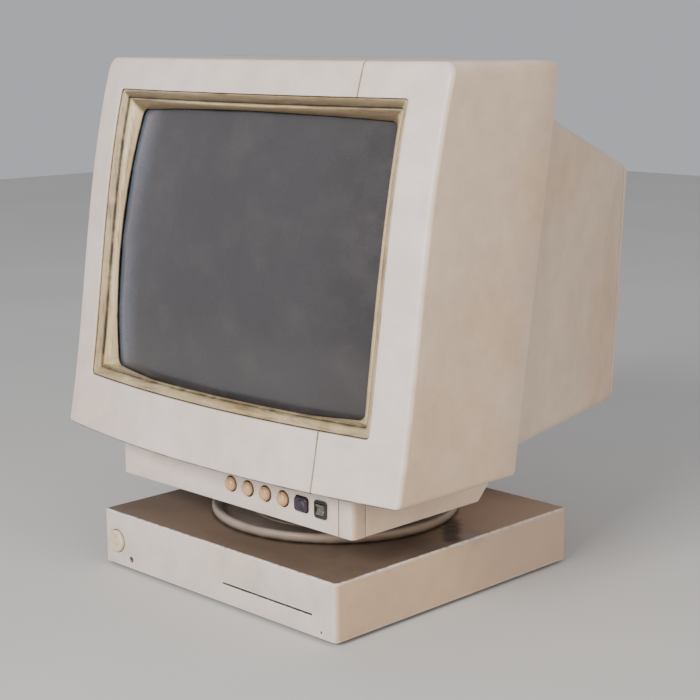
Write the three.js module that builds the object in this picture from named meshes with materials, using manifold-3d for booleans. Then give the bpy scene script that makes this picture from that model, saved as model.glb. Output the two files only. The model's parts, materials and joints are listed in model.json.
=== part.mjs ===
// A desktop tube monitor on a tilt-and-swivel stand, with the slim square base unit it stands on.
//
// Millimetres, +Z up. The origin is on the table, under the middle of the whole object. The screen
// faces -Y, and +X is to the right of a person who looks at it. The pieces are placed about the
// swivel axis, and at the end the whole moves so that its middle is over the origin. Four groups
// carry them, each in a frame of its own: the base stands on the table, the stand turns on top of
// the base, the head hangs on the stand's tilt axle, and the picture tube leans back in the head.

import * as THREE from 'three';
import { mergeVertices } from 'three/addons/utils/BufferGeometryUtils.js';
import Module from 'manifold-3d';

const wasm = await Module();
wasm.setup();

// ---------------------------------------------------------------- driving dimensions

const touchGap = 0.3; // between pieces that touch
const runningGap = 0.4; // round a piece that turns or slides

// Base unit
const baseWidth = 250;
const baseDepth = 246;
const baseCaseHeight = 41;
const baseWall = 2.5;
const baseCornerRadius = 4;
const basePlateThickness = 2.5;
const footHeight = 2.5;
const footDiameter = 18;
const footInset = 22;
const baseBoardWidth = 150;
const baseBoardDepth = 90;
const boardThickness = 1.6;
const baseButtonDiameter = 17;
const baseButtonInset = 15.6; // from the base's left end to the button's centre
const baseButtonHeight = 18.6; // above the case's lower edge
const baseButtonProud = 2.6;
const baseButtonTravel = 2;
const jackHoleDiameter = 5;
const jackInset = 32;
const jackHeight = 7.1;
const slotLength = 91;
const slotHeight = 1.5;
const slotInset = 22.5; // from the base's right end to the slot's end
const slotAboveEdge = 14.9;
const pinholeDiameter = 2;
const pinholeInset = 14;
const pinholeHeight = 4.6;

// Stand: dish, ears, axle and the bolt that it turns on
const dishDiameter = 186;
const dishRimHeight = 8;
const dishRimWidth = 5;
const dishFloor = 3.2;
const hubDiameter = 30;
const hubBore = 8;
const retainerDiameter = 64;
const retainerThickness = 3;
const axleDiameter = 8;
const axleHeight = 14.5; // above the base's top
const earThickness = 6;
const earRadius = 7;
const earSpacing = 62; // between the ears' inner faces
const lugThickness = 5;
const lugGap = 1; // between an ear and the lug inside it

// Head casing, heights measured up from the head's underside
const headGap = 58.3; // from the base's top to the head's underside
const casingWall = 3;
const screenWidth = 261; // visible glass, corner to corner
const screenHeight = 190;
const glassCornerRadius = 5;
const bevelSide = 16;
const bevelTop = 15.5;
const bevelBottom = 7.5;
const bezelSide = 28.5;
const browHeight = 23;
const chinHeight = 41;
const headCornerRadius = 10;
const faceEdgeRadius = 3;
const openingCornerRadius = 3;
const faceFront = -117.2; // the face's side edge at its foot
const leanAngles = [12.5, 8.1, 18.1]; // of the face's side edge, at its foot, middle and top
const bowDepth = 18; // of the face, from side to side
const rearEdgeFoot = -2.5; // the front housing's rear edge at its foot
const rearEdgeLean = 8.4;

// Rear cover
const shoulderSide = 7; // from the front housing's side to the cover's body
const shoulderTop = 32.5;
const shoulderBottom = 14;
const coverCornerRadius = 9;
const tailBack = 220;
const tailTopWidth = 207;
const tailBottomWidth = 189;
const tailHeight = 192;
const tailRise = 5; // of the tail's middle over the tube's axis
const ventLength = 62;
const ventWidth = 3;
const ventPitch = 7.5;
const ventRows = 8;

// Lower housing and its controls
const lowerWidth = 246;
const lowerDrop = 33.3;
const panelFront = -105;
const panelDepth = 12;
const panelWall = 2.5;
const lowerBack = 36;
const tailSlope = 14; // of the lower housing's slanted back, along Y and Z
const cornerPieceWidth = 13.3;
const controlHeight = -17.8;
const controlPitch = 18;
const knobDiameter = 10;
const knobProud = 4;
const knobCount = 4;
const knobTurnGap = 0.5;
const buttonSize = [12.2, 10];
const buttonProud = 2;
const buttonTravel = 2.5;
const rockerSize = [7.4, 7.2];
const rockerFrameSize = [11.6, 12.2];
const frameLip = 1; // of the rocker frame's flange, over its sleeve
const rockerGap = [0.35, 0.8]; // beside the rocker, and over and under it
const rockerPivot = 3.5; // behind the panel's front
const rockerPinRadius = 1.2;

// Picture tube, in its own leaning frame
const tubeLean = 9.35;
const tubeFront = -83; // the visible glass's corners, halfway up
const glassRadius = 600;
const glassBarrel = 4; // how far the visible glass's edges bow outwards
const hiddenGlass = 12;
const glassThickness = 10;
const surroundGap = 0.7; // from the surround's inner edge to the glass
const funnelThickness = 4;
const skirtDepth = 45;
const funnelEnd = 182;
const neckDiameter = 29;
const neckWall = 2;
const neckEnd = 268;
const exhaustHole = 3;
const bandThickness = 1.6;
const bandDepth = 20;
const lugReach = 14;
const tubeScrewDiameter = 5;

// Chassis inside the head
const chassisWidth = 172;
const chassisFront = -18;
const chassisBack = 202;
const chassisHeight = 18.4;
const inletSize = [27, 20];
const inletSpot = [-45, 33];
const signalSize = [25, 11];
const signalSpot = [38, 31];

// ---------------------------------------------------------------- derived dimensions

const baseTop = footHeight + baseCaseHeight;
const headBottom = baseTop + headGap;
const openingWidth = screenWidth + 2 * bevelSide;
const openingHeight = screenHeight + bevelTop + bevelBottom;
const openingMiddle = chinHeight + openingHeight / 2;
const headWidth = openingWidth + 2 * bezelSide;
const headHeight = openingHeight + browHeight + chinHeight;
const headHalfWidth = headWidth / 2;
const headMiddle = headHeight / 2;
const lean = THREE.MathUtils.degToRad(tubeLean);
const tubeMiddle = chinHeight + bevelBottom + screenHeight / 2;
const glassHalfWidth = screenWidth / 2;
const glassHalfHeight = screenHeight / 2 / Math.cos(lean);
const tubeHalfWidth = glassHalfWidth + hiddenGlass;
const tubeHalfHeight = glassHalfHeight + hiddenGlass;
const neckRadius = neckDiameter / 2;
const panelBack = panelFront + panelDepth;
const panelRight = lowerWidth / 2 - cornerPieceWidth;

// ---------------------------------------------------------------- solids

// The solid that a closed three.js geometry bounds.
function toSolid(geometry) {
  const bare = new THREE.BufferGeometry();
  bare.setAttribute('position', geometry.getAttribute('position').clone());
  if (geometry.index) bare.setIndex(geometry.index.clone());
  const merged = mergeVertices(bare, 1e-3);
  const mesh = new wasm.Mesh({
    numProp: 3,
    vertProperties: merged.getAttribute('position').array,
    triVerts: new Uint32Array(merged.index.array),
  });
  return new wasm.Manifold(mesh);
}

function toGeometry(solid) {
  const mesh = solid.getMesh();
  const geometry = new THREE.BufferGeometry();
  geometry.setAttribute('position', new THREE.BufferAttribute(mesh.vertProperties, 3));
  geometry.setIndex(new THREE.BufferAttribute(mesh.triVerts, 1));
  geometry.computeVertexNormals();
  return geometry;
}

function cut(body, ...tools) {
  return toGeometry(tools.reduce((solid, tool) => solid.subtract(toSolid(tool)), toSolid(body)));
}

function join(...pieces) {
  return toGeometry(pieces.map(toSolid).reduce((solid, piece) => solid.add(piece)));
}

function common(a, b) {
  return toGeometry(toSolid(a).intersect(toSolid(b)));
}

// ---------------------------------------------------------------- basic shapes

// A box between two corners.
function box(low, high) {
  const size = high.map((value, axis) => value - low[axis]);
  const geometry = new THREE.BoxGeometry(...size);
  return geometry.translate(...low.map((value, axis) => value + size[axis] / 2));
}

// A cylinder along one axis from `start` to `end`, centred on the other two coordinates.
function rod(axis, radius, start, end, middle = [0, 0], sides = 20) {
  const geometry = new THREE.CylinderGeometry(radius, radius, end - start, sides);
  const half = (start + end) / 2;
  if (axis === 'x') return geometry.rotateZ(-Math.PI / 2).translate(half, middle[0], middle[1]);
  if (axis === 'y') return geometry.translate(middle[0], half, middle[1]);
  return geometry.rotateX(Math.PI / 2).translate(middle[0], middle[1], half);
}

// A turned piece: [radius, distance] pairs round its section, about one axis.
function turned(axis, profile, sides = 20) {
  const points = profile.map(([radius, distance]) => new THREE.Vector2(radius, distance));
  const geometry = new THREE.LatheGeometry(points, sides);
  return axis === 'z' ? geometry.rotateX(Math.PI / 2) : geometry;
}

// A side profile of [y, z] points, extruded along X.
function alongX(profile, start, end) {
  const shape = new THREE.Shape(profile.map(([y, z]) => new THREE.Vector2(y, z)));
  const geometry = new THREE.ExtrudeGeometry(shape, { depth: end - start, bevelEnabled: false });
  const basis = new THREE.Matrix4().makeBasis(
    new THREE.Vector3(0, 1, 0),
    new THREE.Vector3(0, 0, 1),
    new THREE.Vector3(1, 0, 0),
  );
  return geometry.applyMatrix4(basis).translate(start, 0, 0);
}

// A rounded rectangle in the XZ plane, extruded along Y.
function roundedAlongY(width, height, radius, start, end, middle = [0, 0]) {
  const shape = new THREE.Shape(outline(width / 2, height / 2, radius, middle[1], [1, 1]));
  const geometry = new THREE.ExtrudeGeometry(shape, { depth: end - start, bevelEnabled: false });
  return geometry.rotateX(Math.PI / 2).translate(middle[0], end, 0);
}

// Points round a rectangle with rounded corners, anticlockwise. Its long and short sides are
// divided, so that a skin through them can follow a curved face.
function outline(halfWidth, halfHeight, radius, middle = 0, sideSteps = [8, 5]) {
  const cornerSteps = 3;
  const points = [];
  for (let quarter = 0; quarter < 4; quarter++) {
    const x = (halfWidth - radius) * (quarter === 0 || quarter === 3 ? 1 : -1);
    const z = (halfHeight - radius) * (quarter < 2 ? 1 : -1);
    for (let step = 0; step <= cornerSteps; step++) {
      const angle = ((quarter + step / cornerSteps) * Math.PI) / 2;
      points.push([x + radius * Math.cos(angle), z + radius * Math.sin(angle)]);
    }
    const steps = sideSteps[quarter % 2];
    const along = quarter % 2 === 0 ? [-2 * x, 0] : [0, -2 * z];
    const last = points[points.length - 1];
    for (let step = 1; step < steps; step++) {
      const share = step / steps;
      points.push([last[0] + along[0] * share, last[1] + along[1] * share]);
    }
  }
  return points.map(([x, z]) => new THREE.Vector2(x, z + middle));
}

// Puts ring after ring of points in place of a grid geometry's vertices.
function throughRings(geometry, rings, columns) {
  const position = geometry.getAttribute('position');
  for (let i = 0; i < position.count; i++) {
    const ring = rings[Math.floor(i / (columns + 1)) % rings.length];
    const point = ring[(i % (columns + 1)) % ring.length];
    position.setXYZ(i, point.x, point.y, point.z);
  }
  return geometry;
}

// A solid whose skin starts at a point, runs through the rings and ends at a point. The rings run
// anticlockwise as seen from the first point's side.
function loft(rings) {
  const columns = rings[1].length;
  const geometry = new THREE.SphereGeometry(1, columns, rings.length - 1);
  return throughRings(geometry, rings, columns);
}

// A ring-shaped solid: its rings run outer side, front, inner side, back, anticlockwise as seen
// from the front.
function hoop(rings) {
  const columns = rings[0].length;
  const geometry = new THREE.TorusGeometry(2, 1, rings.length, columns);
  return throughRings(geometry, rings, columns);
}

// A ring of points over an outline in the XZ plane, each at the Y that `depth` gives.
function ringAt(points, depth) {
  return points.map((point) => new THREE.Vector3(point.x, depth(point.x, point.y), point.y));
}

// ---------------------------------------------------------------- scene graph

const monitor = new THREE.Group();

function group(parent, x, y, z, tilt = 0) {
  const made = new THREE.Group();
  made.position.set(x, y, z);
  made.rotation.x = tilt;
  parent.add(made);
  return made;
}

const onSwivelAxis = group(monitor, 0, 0, 0);
const base = group(onSwivelAxis, 0, 0, 0);
const stand = group(onSwivelAxis, 0, 0, baseTop);
const head = group(onSwivelAxis, 0, 0, headBottom);
const tube = group(head, 0, tubeFront, tubeMiddle, -lean);
tube.updateMatrix();

function finish(colour, roughness, metalness = 0) {
  return new THREE.MeshStandardMaterial({ color: colour, roughness, metalness });
}

const finishes = {
  casing: finish(0xd2c6b8, 0.5),
  baseCasing: finish(0xcdbfae, 0.5),
  bevel: finish(0xb09b70, 0.45),
  knob: finish(0xcfa77e, 0.3),
  button: finish(0x574a5e, 0.35),
  rocker: finish(0x4c4c46, 0.5),
  darkPlastic: finish(0x2c2b2a, 0.5),
  glass: finish(0x5f6164, 0.12),
  steel: finish(0x9a9da0, 0.35, 1),
  board: finish(0x3c6b45, 0.55),
  copper: finish(0xa4582e, 0.4, 0.7),
  ferrite: finish(0x3d3a38, 0.8),
  aluminium: finish(0xb4b6b8, 0.4, 1),
  rubber: finish(0x262626, 0.9),
  cream: finish(0xd9d2bd, 0.5),
};

function add(parent, name, geometry, material, x = 0, y = 0, z = 0) {
  const mesh = new THREE.Mesh(geometry, material);
  mesh.name = name;
  mesh.position.set(x, y, z);
  parent.add(mesh);
}

// ---------------------------------------------------------------- the head's curved faces

const leanSlopes = leanAngles.map((angle) => Math.tan(THREE.MathUtils.degToRad(angle)));

// How far back the face's side edge is at a height, over its foot.
function leanAt(height) {
  const [low, middle, high] = leanSlopes;
  const share = height / headHeight;
  const linear = -3 * low + 4 * middle - high;
  const square = 2 * low - 4 * middle + 2 * high;
  return headHeight * (low * share + (linear * share ** 2) / 2 + (square * share ** 3) / 3);
}

function faceAt(x, height) {
  return faceFront + leanAt(height) - bowDepth * (1 - (x / headHalfWidth) ** 2);
}

function rearEdgeAt(height) {
  return rearEdgeFoot + height * Math.tan(THREE.MathUtils.degToRad(rearEdgeLean));
}

// The glass's outer face in the tube's frame, through its visible corners.
function glassAt(x, z) {
  const corner = glassHalfWidth ** 2 + glassHalfHeight ** 2;
  return (x ** 2 + z ** 2 - corner) / (2 * glassRadius);
}

// The tube's axis at a distance back in the head: its height there.
function axisAt(back) {
  return tubeMiddle - (back - tubeFront) * Math.tan(lean);
}

// ---------------------------------------------------------------- head casing

function headOutline(inset) {
  const radius = Math.max(headCornerRadius - inset, 2);
  return outline(headHalfWidth - inset, headMiddle - inset, radius, headMiddle);
}

function openingOutline(inset) {
  const radius = openingCornerRadius - inset / 4;
  return outline(openingWidth / 2 - inset, openingHeight / 2 - inset, radius, openingMiddle);
}

const postSpots = [
  [1, 1],
  [-1, 1],
  [-1, -1],
  [1, -1],
].map(([x, z]) => [x * (tubeHalfWidth + lugReach / 2), z * (tubeHalfHeight + lugReach / 2)]);
const bandFront = skirtDepth - bandDepth;

// Screw posts for the tube, which stand on the housing's front wall and stay inside its skin.
function tubePosts() {
  const skin = loft([
    [new THREE.Vector3(0, faceAt(0, headMiddle) + 1, headMiddle)],
    ringAt(headOutline(1), (x, height) => faceAt(x, height) + 1),
    ringAt(headOutline(1), (x, height) => rearEdgeAt(height)),
    [new THREE.Vector3(0, rearEdgeAt(headMiddle), headMiddle)],
  ]);
  return postSpots.map((spot) => {
    const post = rod('y', 5, -45, bandFront - touchGap, spot, 12);
    return common(post.applyMatrix4(tube.matrix), skin);
  });
}

const coverScrewSpots = [-1, 1].map((side) => [
  side * (headHalfWidth - 55),
  headHeight - shoulderTop / 2 - 2,
]);
const coverScrewRadius = 1.9;

// Screw posts for the rear cover, each on a web under the housing's top wall.
function coverPosts() {
  return coverScrewSpots.flatMap(([x, height]) => {
    const back = rearEdgeAt(height) - 7;
    return [
      rod('y', 4.5, back - 18, back, [x, height], 12),
      box([x - 1.5, back - 18, height], [x + 1.5, back, headHeight - 1]),
    ];
  });
}

function frontHousing() {
  const edge = faceEdgeRadius;
  const shell = hoop([
    ringAt(headOutline(0), (x, height) => rearEdgeAt(height)),
    ringAt(headOutline(0), (x, height) => faceAt(x, height) + edge),
    ringAt(headOutline(edge * 0.3), (x, height) => faceAt(x, height) + edge * 0.3),
    ringAt(headOutline(edge), faceAt),
    ringAt(openingOutline(0), faceAt),
    ringAt(openingOutline(0), (x, height) => faceAt(x, height) + casingWall),
    ringAt(headOutline(casingWall), (x, height) => faceAt(x, height) + casingWall + 1),
    ringAt(headOutline(casingWall), (x, height) => rearEdgeAt(height)),
  ]);
  const screwHoles = postSpots.map((spot) => {
    const hole = rod('y', tubeScrewDiameter / 2 + 0.2, bandFront - 16, bandFront, spot, 12);
    return hole.applyMatrix4(tube.matrix);
  });
  const coverHoles = coverScrewSpots.map(([x, height]) => {
    const back = rearEdgeAt(height);
    return rod('y', coverScrewRadius + 0.2, back - 20, back, [x, height], 12);
  });
  return cut(join(shell, ...tubePosts(), ...coverPosts()), ...screwHoles, ...coverHoles);
}

// The glass's visible edge in the head's frame, `ahead` of its face and `outwards` of its edge.
function glassEdge(ahead, outwards) {
  const radius = glassCornerRadius + outwards;
  const points = outline(glassHalfWidth + outwards, glassHalfHeight + outwards, radius);
  return points.map(({ x, y: z }) => {
    const bowX = glassBarrel * (1 - Math.min(1, (z / glassHalfHeight) ** 2));
    const bowZ = glassBarrel * (1 - Math.min(1, (x / glassHalfWidth) ** 2));
    const wide = x * (1 + bowX / glassHalfWidth);
    const tall = z * (1 + bowZ / glassHalfHeight);
    const point = new THREE.Vector3(wide, glassAt(wide, tall) - ahead, tall);
    return point.applyMatrix4(tube.matrix);
  });
}

// How far back the glass's outer face is in the head, over a point of the face.
function glassBehind(x, height) {
  const up = (height - tubeMiddle) / Math.cos(lean);
  return tubeFront + glassAt(x, up) / Math.cos(lean) + (height - tubeMiddle) * Math.tan(lean);
}

// The two-stepped bevel between the face and the glass.
function screenSurround() {
  const stepIn = 6;
  return hoop([
    ringAt(openingOutline(touchGap), (x, height) => faceAt(x, height) + 7),
    ringAt(openingOutline(touchGap), (x, height) => faceAt(x, height) + 1),
    ringAt(openingOutline(stepIn), (x, height) => faceAt(x, height) + 3.6),
    ringAt(openingOutline(stepIn + 0.5), (x, height) => faceAt(x, height) + 5.4),
    glassEdge(surroundGap + 0.8, 0),
    glassEdge(surroundGap, 0.6),
    ringAt(openingOutline(2), (x, height) => {
      return Math.min(faceAt(x, height) + 8, glassBehind(x, height) - surroundGap);
    }),
  ]);
}

add(head, 'front_housing', frontHousing(), finishes.casing);
add(head, 'screen_surround', screenSurround(), finishes.bevel);

// The rear cover's body section, at a share of the way from its front to its tail.
function coverOutline(share, inset) {
  const tailMiddle = axisAt(tailBack) + tailRise;
  const mix = (front, tail) => THREE.MathUtils.lerp(front, tail, share);
  const frontHalf = headHalfWidth - shoulderSide;
  const topHalf = mix(frontHalf, tailTopWidth / 2) - inset;
  const bottomHalf = mix(frontHalf, tailBottomWidth / 2) - inset;
  const top = mix(headHeight - shoulderTop, tailMiddle + tailHeight / 2) - inset;
  const bottom = mix(shoulderBottom, tailMiddle - tailHeight / 2) + inset;
  const radius = coverCornerRadius - inset;
  const points = outline(topHalf, (top - bottom) / 2, radius, (top + bottom) / 2);
  for (const point of points) {
    point.x *= THREE.MathUtils.mapLinear(point.y, bottom, top, bottomHalf / topHalf, 1);
  }
  return points;
}

function rearCover() {
  const wall = casingWall;
  const lip = 4;
  const seam = (x, height) => rearEdgeAt(height) - 1;
  const lipOutline = headOutline(casingWall + touchGap);
  const tailInside = tailBack - wall;
  const tailMiddle = axisAt(tailBack) + tailRise;
  const shell = loft([
    [new THREE.Vector3(0, tailInside, tailMiddle)],
    ringAt(coverOutline(1, wall), () => tailInside),
    ringAt(coverOutline(0, wall), (x, height) => seam(x, height) - lip),
    ringAt(lipOutline, (x, height) => seam(x, height) - lip),
    ringAt(lipOutline, seam),
    ringAt(coverOutline(0, 0), seam),
    ringAt(coverOutline(1, 0), () => tailBack - 2),
    ringAt(coverOutline(1, 2), () => tailBack),
    [new THREE.Vector3(0, tailBack, tailMiddle)],
  ]);
  const topVents = [];
  for (let row = 0; row < ventRows; row++) {
    const back = tailBack - 40 - row * ventPitch;
    for (const side of [-1, 1]) {
      const inner = side * 6;
      const outer = side * (6 + ventLength);
      const low = [Math.min(inner, outer), back, tailMiddle + tailHeight / 4];
      const high = [Math.max(inner, outer), back + ventWidth, headHeight];
      topVents.push(box(low, high));
    }
  }
  const rearVents = [];
  for (let row = 0; row < ventRows; row++) {
    const height = tailMiddle + 8 + row * ventPitch;
    const low = [-ventLength, tailInside - 2, height];
    const high = [ventLength, tailBack + 2, height + ventWidth];
    rearVents.push(box(low, high));
  }
  const sockets = [
    [inletSize, inletSpot],
    [signalSize, signalSpot],
  ].map(([size, spot]) => {
    const [width, height] = size.map((value) => value + 2 * touchGap);
    return roundedAlongY(width, height, 1.5, tailInside - 2, tailBack + 2, spot);
  });
  const screwHoles = coverScrewSpots.map(([x, height]) => {
    const back = rearEdgeAt(height);
    return rod('y', coverScrewRadius + touchGap, back - 9, back + 4, [x, height], 12);
  });
  return cut(shell, ...topVents, ...rearVents, ...sockets, ...screwHoles);
}

function coverScrew() {
  const headRadius = 3.6;
  const shank = -18;
  return turned('y', [
    [0, shank],
    [coverScrewRadius, shank],
    [coverScrewRadius, touchGap],
    [headRadius, touchGap],
    [headRadius, 1.6],
    [headRadius * 0.6, 2.4],
    [0, 2.4],
  ], 12);
}

add(head, 'rear_cover', rearCover(), finishes.casing);
coverScrewSpots.forEach(([x, height], i) => {
  const back = rearEdgeAt(height) - 1 + 0.6;
  add(head, `cover_screw_${i + 1}`, coverScrew(), finishes.steel, x, back, height);
});

// ---------------------------------------------------------------- lower housing and controls

function lowerHousing() {
  const profile = (inset, top) => [
    [panelBack + touchGap + inset, top],
    [panelBack + touchGap + inset, -lowerDrop + inset],
    [lowerBack - tailSlope - inset / 2, -lowerDrop + inset],
    [lowerBack - inset, -lowerDrop + tailSlope + inset / 2],
    [lowerBack - inset, top],
  ];
  const half = lowerWidth / 2;
  const body = alongX(profile(0, -touchGap), -half, half);
  const inside = alongX(profile(casingWall, -casingWall), -half + casingWall, half - casingWall);
  const topOpening = box(
    [-half + 12, panelBack + 15, -casingWall - 1],
    [half - 12, rearEdgeFoot - 12, 1],
  );
  const frontOpening = box(
    [-half + 12, panelBack - 2, -lowerDrop + casingWall + 1.5],
    [half - 12, panelBack + 10, -casingWall - 1.5],
  );
  return cut(body, inside, topOpening, frontOpening);
}

// A channel with its back open: front wall, floor, roof and the end walls asked for.
function panelChannel(left, right, leftWall, rightWall) {
  const bottom = -lowerDrop;
  const top = -touchGap;
  const body = box([left, panelFront, bottom], [right, panelBack, top]);
  const inside = box(
    [left + (leftWall ? panelWall : -1), panelFront + panelWall, bottom + panelWall],
    [right - (rightWall ? panelWall : -1), panelBack + 1, top - panelWall],
  );
  return cut(body, inside);
}

const rockerX = panelRight - 16.5;
const buttonX = rockerX - controlPitch - 0.8;
const knobSpots = Array.from({ length: knobCount }, (_, i) => {
  return buttonX - controlPitch * (knobCount - i) - 0.4;
});
const boardFront = panelFront + 21;
const partsBack = boardFront - panelFront - touchGap; // of what stands on the control board
const canDepth = 9;
const spindleRadius = 2.5;

function controlPanel() {
  const channel = panelChannel(-lowerWidth / 2, panelRight - touchGap, true, false);
  const front = panelFront - 1;
  const back = panelFront + panelWall + 1;
  const knobHoles = knobSpots.map((x) => {
    return rod('y', knobDiameter / 2 + knobTurnGap, front, back, [x, controlHeight]);
  });
  const window = (size, gap, radius, x) => {
    const [width, height] = size.map((value) => value + 2 * gap);
    return roundedAlongY(width, height, radius, front, back, [x, controlHeight]);
  };
  return cut(
    channel,
    ...knobHoles,
    window(buttonSize, runningGap, 2.5, buttonX),
    window(rockerFrameSize, touchGap - frameLip, 1.5, rockerX),
  );
}

add(head, 'lower_housing', lowerHousing(), finishes.casing);
add(head, 'control_panel', controlPanel(), finishes.casing);
add(
  head,
  'panel_corner',
  panelChannel(panelRight, lowerWidth / 2, false, true),
  finishes.casing,
);

// A knob with its spindle, about its own axis; it points back along +Y.
function knob() {
  const radius = knobDiameter / 2;
  const spindle = partsBack - 5;
  const body = turned('y', [
    [0, -knobProud],
    [radius * 0.6, -knobProud + 0.2],
    [radius * 0.88, -knobProud + 0.9],
    [radius, -knobProud + 2.2],
    [radius, panelWall + 2],
    [spindleRadius, panelWall + 2],
    [spindleRadius, spindle],
    [0, spindle],
  ], 20);
  const pointer = box([-0.5, -knobProud - 1, radius * 0.35], [0.5, -knobProud + 0.9, radius + 1]);
  return cut(body, pointer);
}

// A potentiometer on the control board: can, collar and the bore that the spindle turns in.
function potentiometer() {
  const front = partsBack - canDepth;
  const can = box([-6, front, -6], [6, partsBack, 6]);
  const collar = rod('y', 4, front - 3, front + 1);
  const bore = rod('y', spindleRadius + runningGap, front - 4, partsBack - 3);
  return cut(join(can, collar), bore);
}

knobSpots.forEach((x, i) => {
  add(head, `knob_${i + 1}`, knob(), finishes.knob, x, panelFront, controlHeight);
  add(head, `potentiometer_${i + 1}`, potentiometer(), finishes.steel, x, panelFront, controlHeight);
});

const switchFront = partsBack - canDepth - 0.7;

function modeButton() {
  const [width, height] = buttonSize;
  const cap = roundedAlongY(width, height, 2.5, -buttonProud, panelWall + 3);
  const stem = box([-2, panelWall, -2], [2, switchFront - touchGap - buttonTravel, 2]);
  const crown = rod('y', 4.2, -buttonProud - 0.8, -buttonProud + 1);
  return join(cap, stem, crown);
}

const modeSwitch = box([-5, switchFront, -5], [5, partsBack, 5]);

add(head, 'mode_button', modeButton(), finishes.button, buttonX, panelFront, controlHeight);
add(head, 'mode_switch', modeSwitch, finishes.darkPlastic, buttonX, panelFront, controlHeight);

// A frame that snaps into the panel, with a flange in front and a bore each side for the rocker.
function rockerFrame() {
  const [width, height] = rockerFrameSize;
  const flange = roundedAlongY(width, height, 2, -1.3, -touchGap);
  const sleeve = roundedAlongY(width - 2 * frameLip, height - 2 * frameLip, 1.5, -0.6, 14);
  const [wellWidth, wellHeight] = rockerSize.map((value, i) => value + 2 * rockerGap[i]);
  const well = roundedAlongY(wellWidth, wellHeight, 0.6, -3, 11);
  const boreEnd = width / 2 - frameLip + 1;
  const bore = rod('x', rockerPinRadius + 0.2, -boreEnd, boreEnd, [rockerPivot, 0], 12);
  return cut(join(flange, sleeve), well, bore);
}

// A rocker with a dished face, on a pin across it.
function rocker() {
  const [width, height] = rockerSize;
  const half = height / 2;
  const front = -1.7;
  const cap = alongX(
    [
      [front, -half],
      [front + 3.4, -half + 0.5],
      [rockerPivot + 2.5, -2],
      [rockerPivot + 2.5, 2],
      [front + 3.4, half - 0.5],
      [front, half],
      [front + 0.8, half * 0.35],
      [front + 0.8, -half * 0.35],
    ].reverse(),
    -width / 2,
    width / 2,
  );
  const pinEnd = width / 2 + rockerGap[0] + 0.5;
  return join(cap, rod('x', rockerPinRadius, -pinEnd, pinEnd, [rockerPivot, 0], 12));
}

add(head, 'rocker_frame', rockerFrame(), finishes.darkPlastic, rockerX, panelFront, controlHeight);
add(head, 'rocker', rocker(), finishes.rocker, rockerX, panelFront, controlHeight);

const controlBoard = box(
  [knobSpots[0] - 14, boardFront, -lowerDrop + casingWall + 2],
  [rockerX + 10, boardFront + boardThickness, -casingWall - 2],
);
add(head, 'control_board', controlBoard, finishes.board);

// ---------------------------------------------------------------- picture tube

// A superellipse ring in the tube's frame: power 2 is an ellipse, and more is squarer.
function glassRing(halfWidth, halfHeight, power, depth) {
  const steps = 32;
  return Array.from({ length: steps }, (_, i) => {
    const angle = (i / steps) * 2 * Math.PI;
    const x = halfWidth * Math.sign(Math.cos(angle)) * Math.abs(Math.cos(angle)) ** (2 / power);
    const z = halfHeight * Math.sign(Math.sin(angle)) * Math.abs(Math.sin(angle)) ** (2 / power);
    return new THREE.Vector3(x, depth(x, z), z);
  });
}

// Shares of the way down the funnel, its size between skirt and neck, and its squareness.
const funnelStations = [
  { along: 0.22, size: 0.81, power: 5 },
  { along: 0.45, size: 0.55, power: 3.4 },
  { along: 0.67, size: 0.31, power: 2.5 },
  { along: 0.86, size: 0.1, power: 2 },
];

function funnelRing({ along, size, power }, wall) {
  const depth = THREE.MathUtils.lerp(skirtDepth, funnelEnd, along);
  const halfWidth = THREE.MathUtils.lerp(neckRadius, tubeHalfWidth, size) - wall;
  const halfHeight = THREE.MathUtils.lerp(neckRadius, tubeHalfHeight, size) - wall;
  return glassRing(halfWidth, halfHeight, power, () => depth);
}

function pictureTube() {
  const facePower = 9;
  const faceRing = (share, wall, back) => glassRing(
    (tubeHalfWidth - wall) * share,
    (tubeHalfHeight - wall) * share,
    facePower,
    (x, z) => glassAt(x, z) + back,
  );
  const skirtRing = (wall, depth) => glassRing(
    tubeHalfWidth - wall,
    tubeHalfHeight - wall,
    facePower,
    () => depth,
  );
  const neckRing = (radius, depth) => glassRing(radius, radius, 2, () => depth);
  const inner = glassThickness;
  const innerNeck = neckRadius - neckWall;
  return loft([
    [new THREE.Vector3(0, glassAt(0, 0), 0)],
    faceRing(0.35, 0, 0),
    faceRing(0.68, 0, 0),
    faceRing(0.86, 0, 0),
    faceRing(0.97, 0, 0),
    skirtRing(0, 12),
    skirtRing(0, skirtDepth),
    ...funnelStations.map((station) => funnelRing(station, 0)),
    neckRing(neckRadius, funnelEnd),
    neckRing(neckRadius, neckEnd),
    neckRing(exhaustHole / 2, neckEnd),
    neckRing(exhaustHole / 2, neckEnd - 4),
    neckRing(innerNeck, neckEnd - 4),
    neckRing(innerNeck, funnelEnd),
    ...[...funnelStations].reverse().map((station) => funnelRing(station, funnelThickness)),
    skirtRing(inner, skirtDepth),
    faceRing(0.92, inner, inner),
    faceRing(0.5, inner, inner),
    [new THREE.Vector3(0, glassAt(0, 0) + inner, 0)],
  ]);
}

add(tube, 'picture_tube', pictureTube(), finishes.glass);

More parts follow.
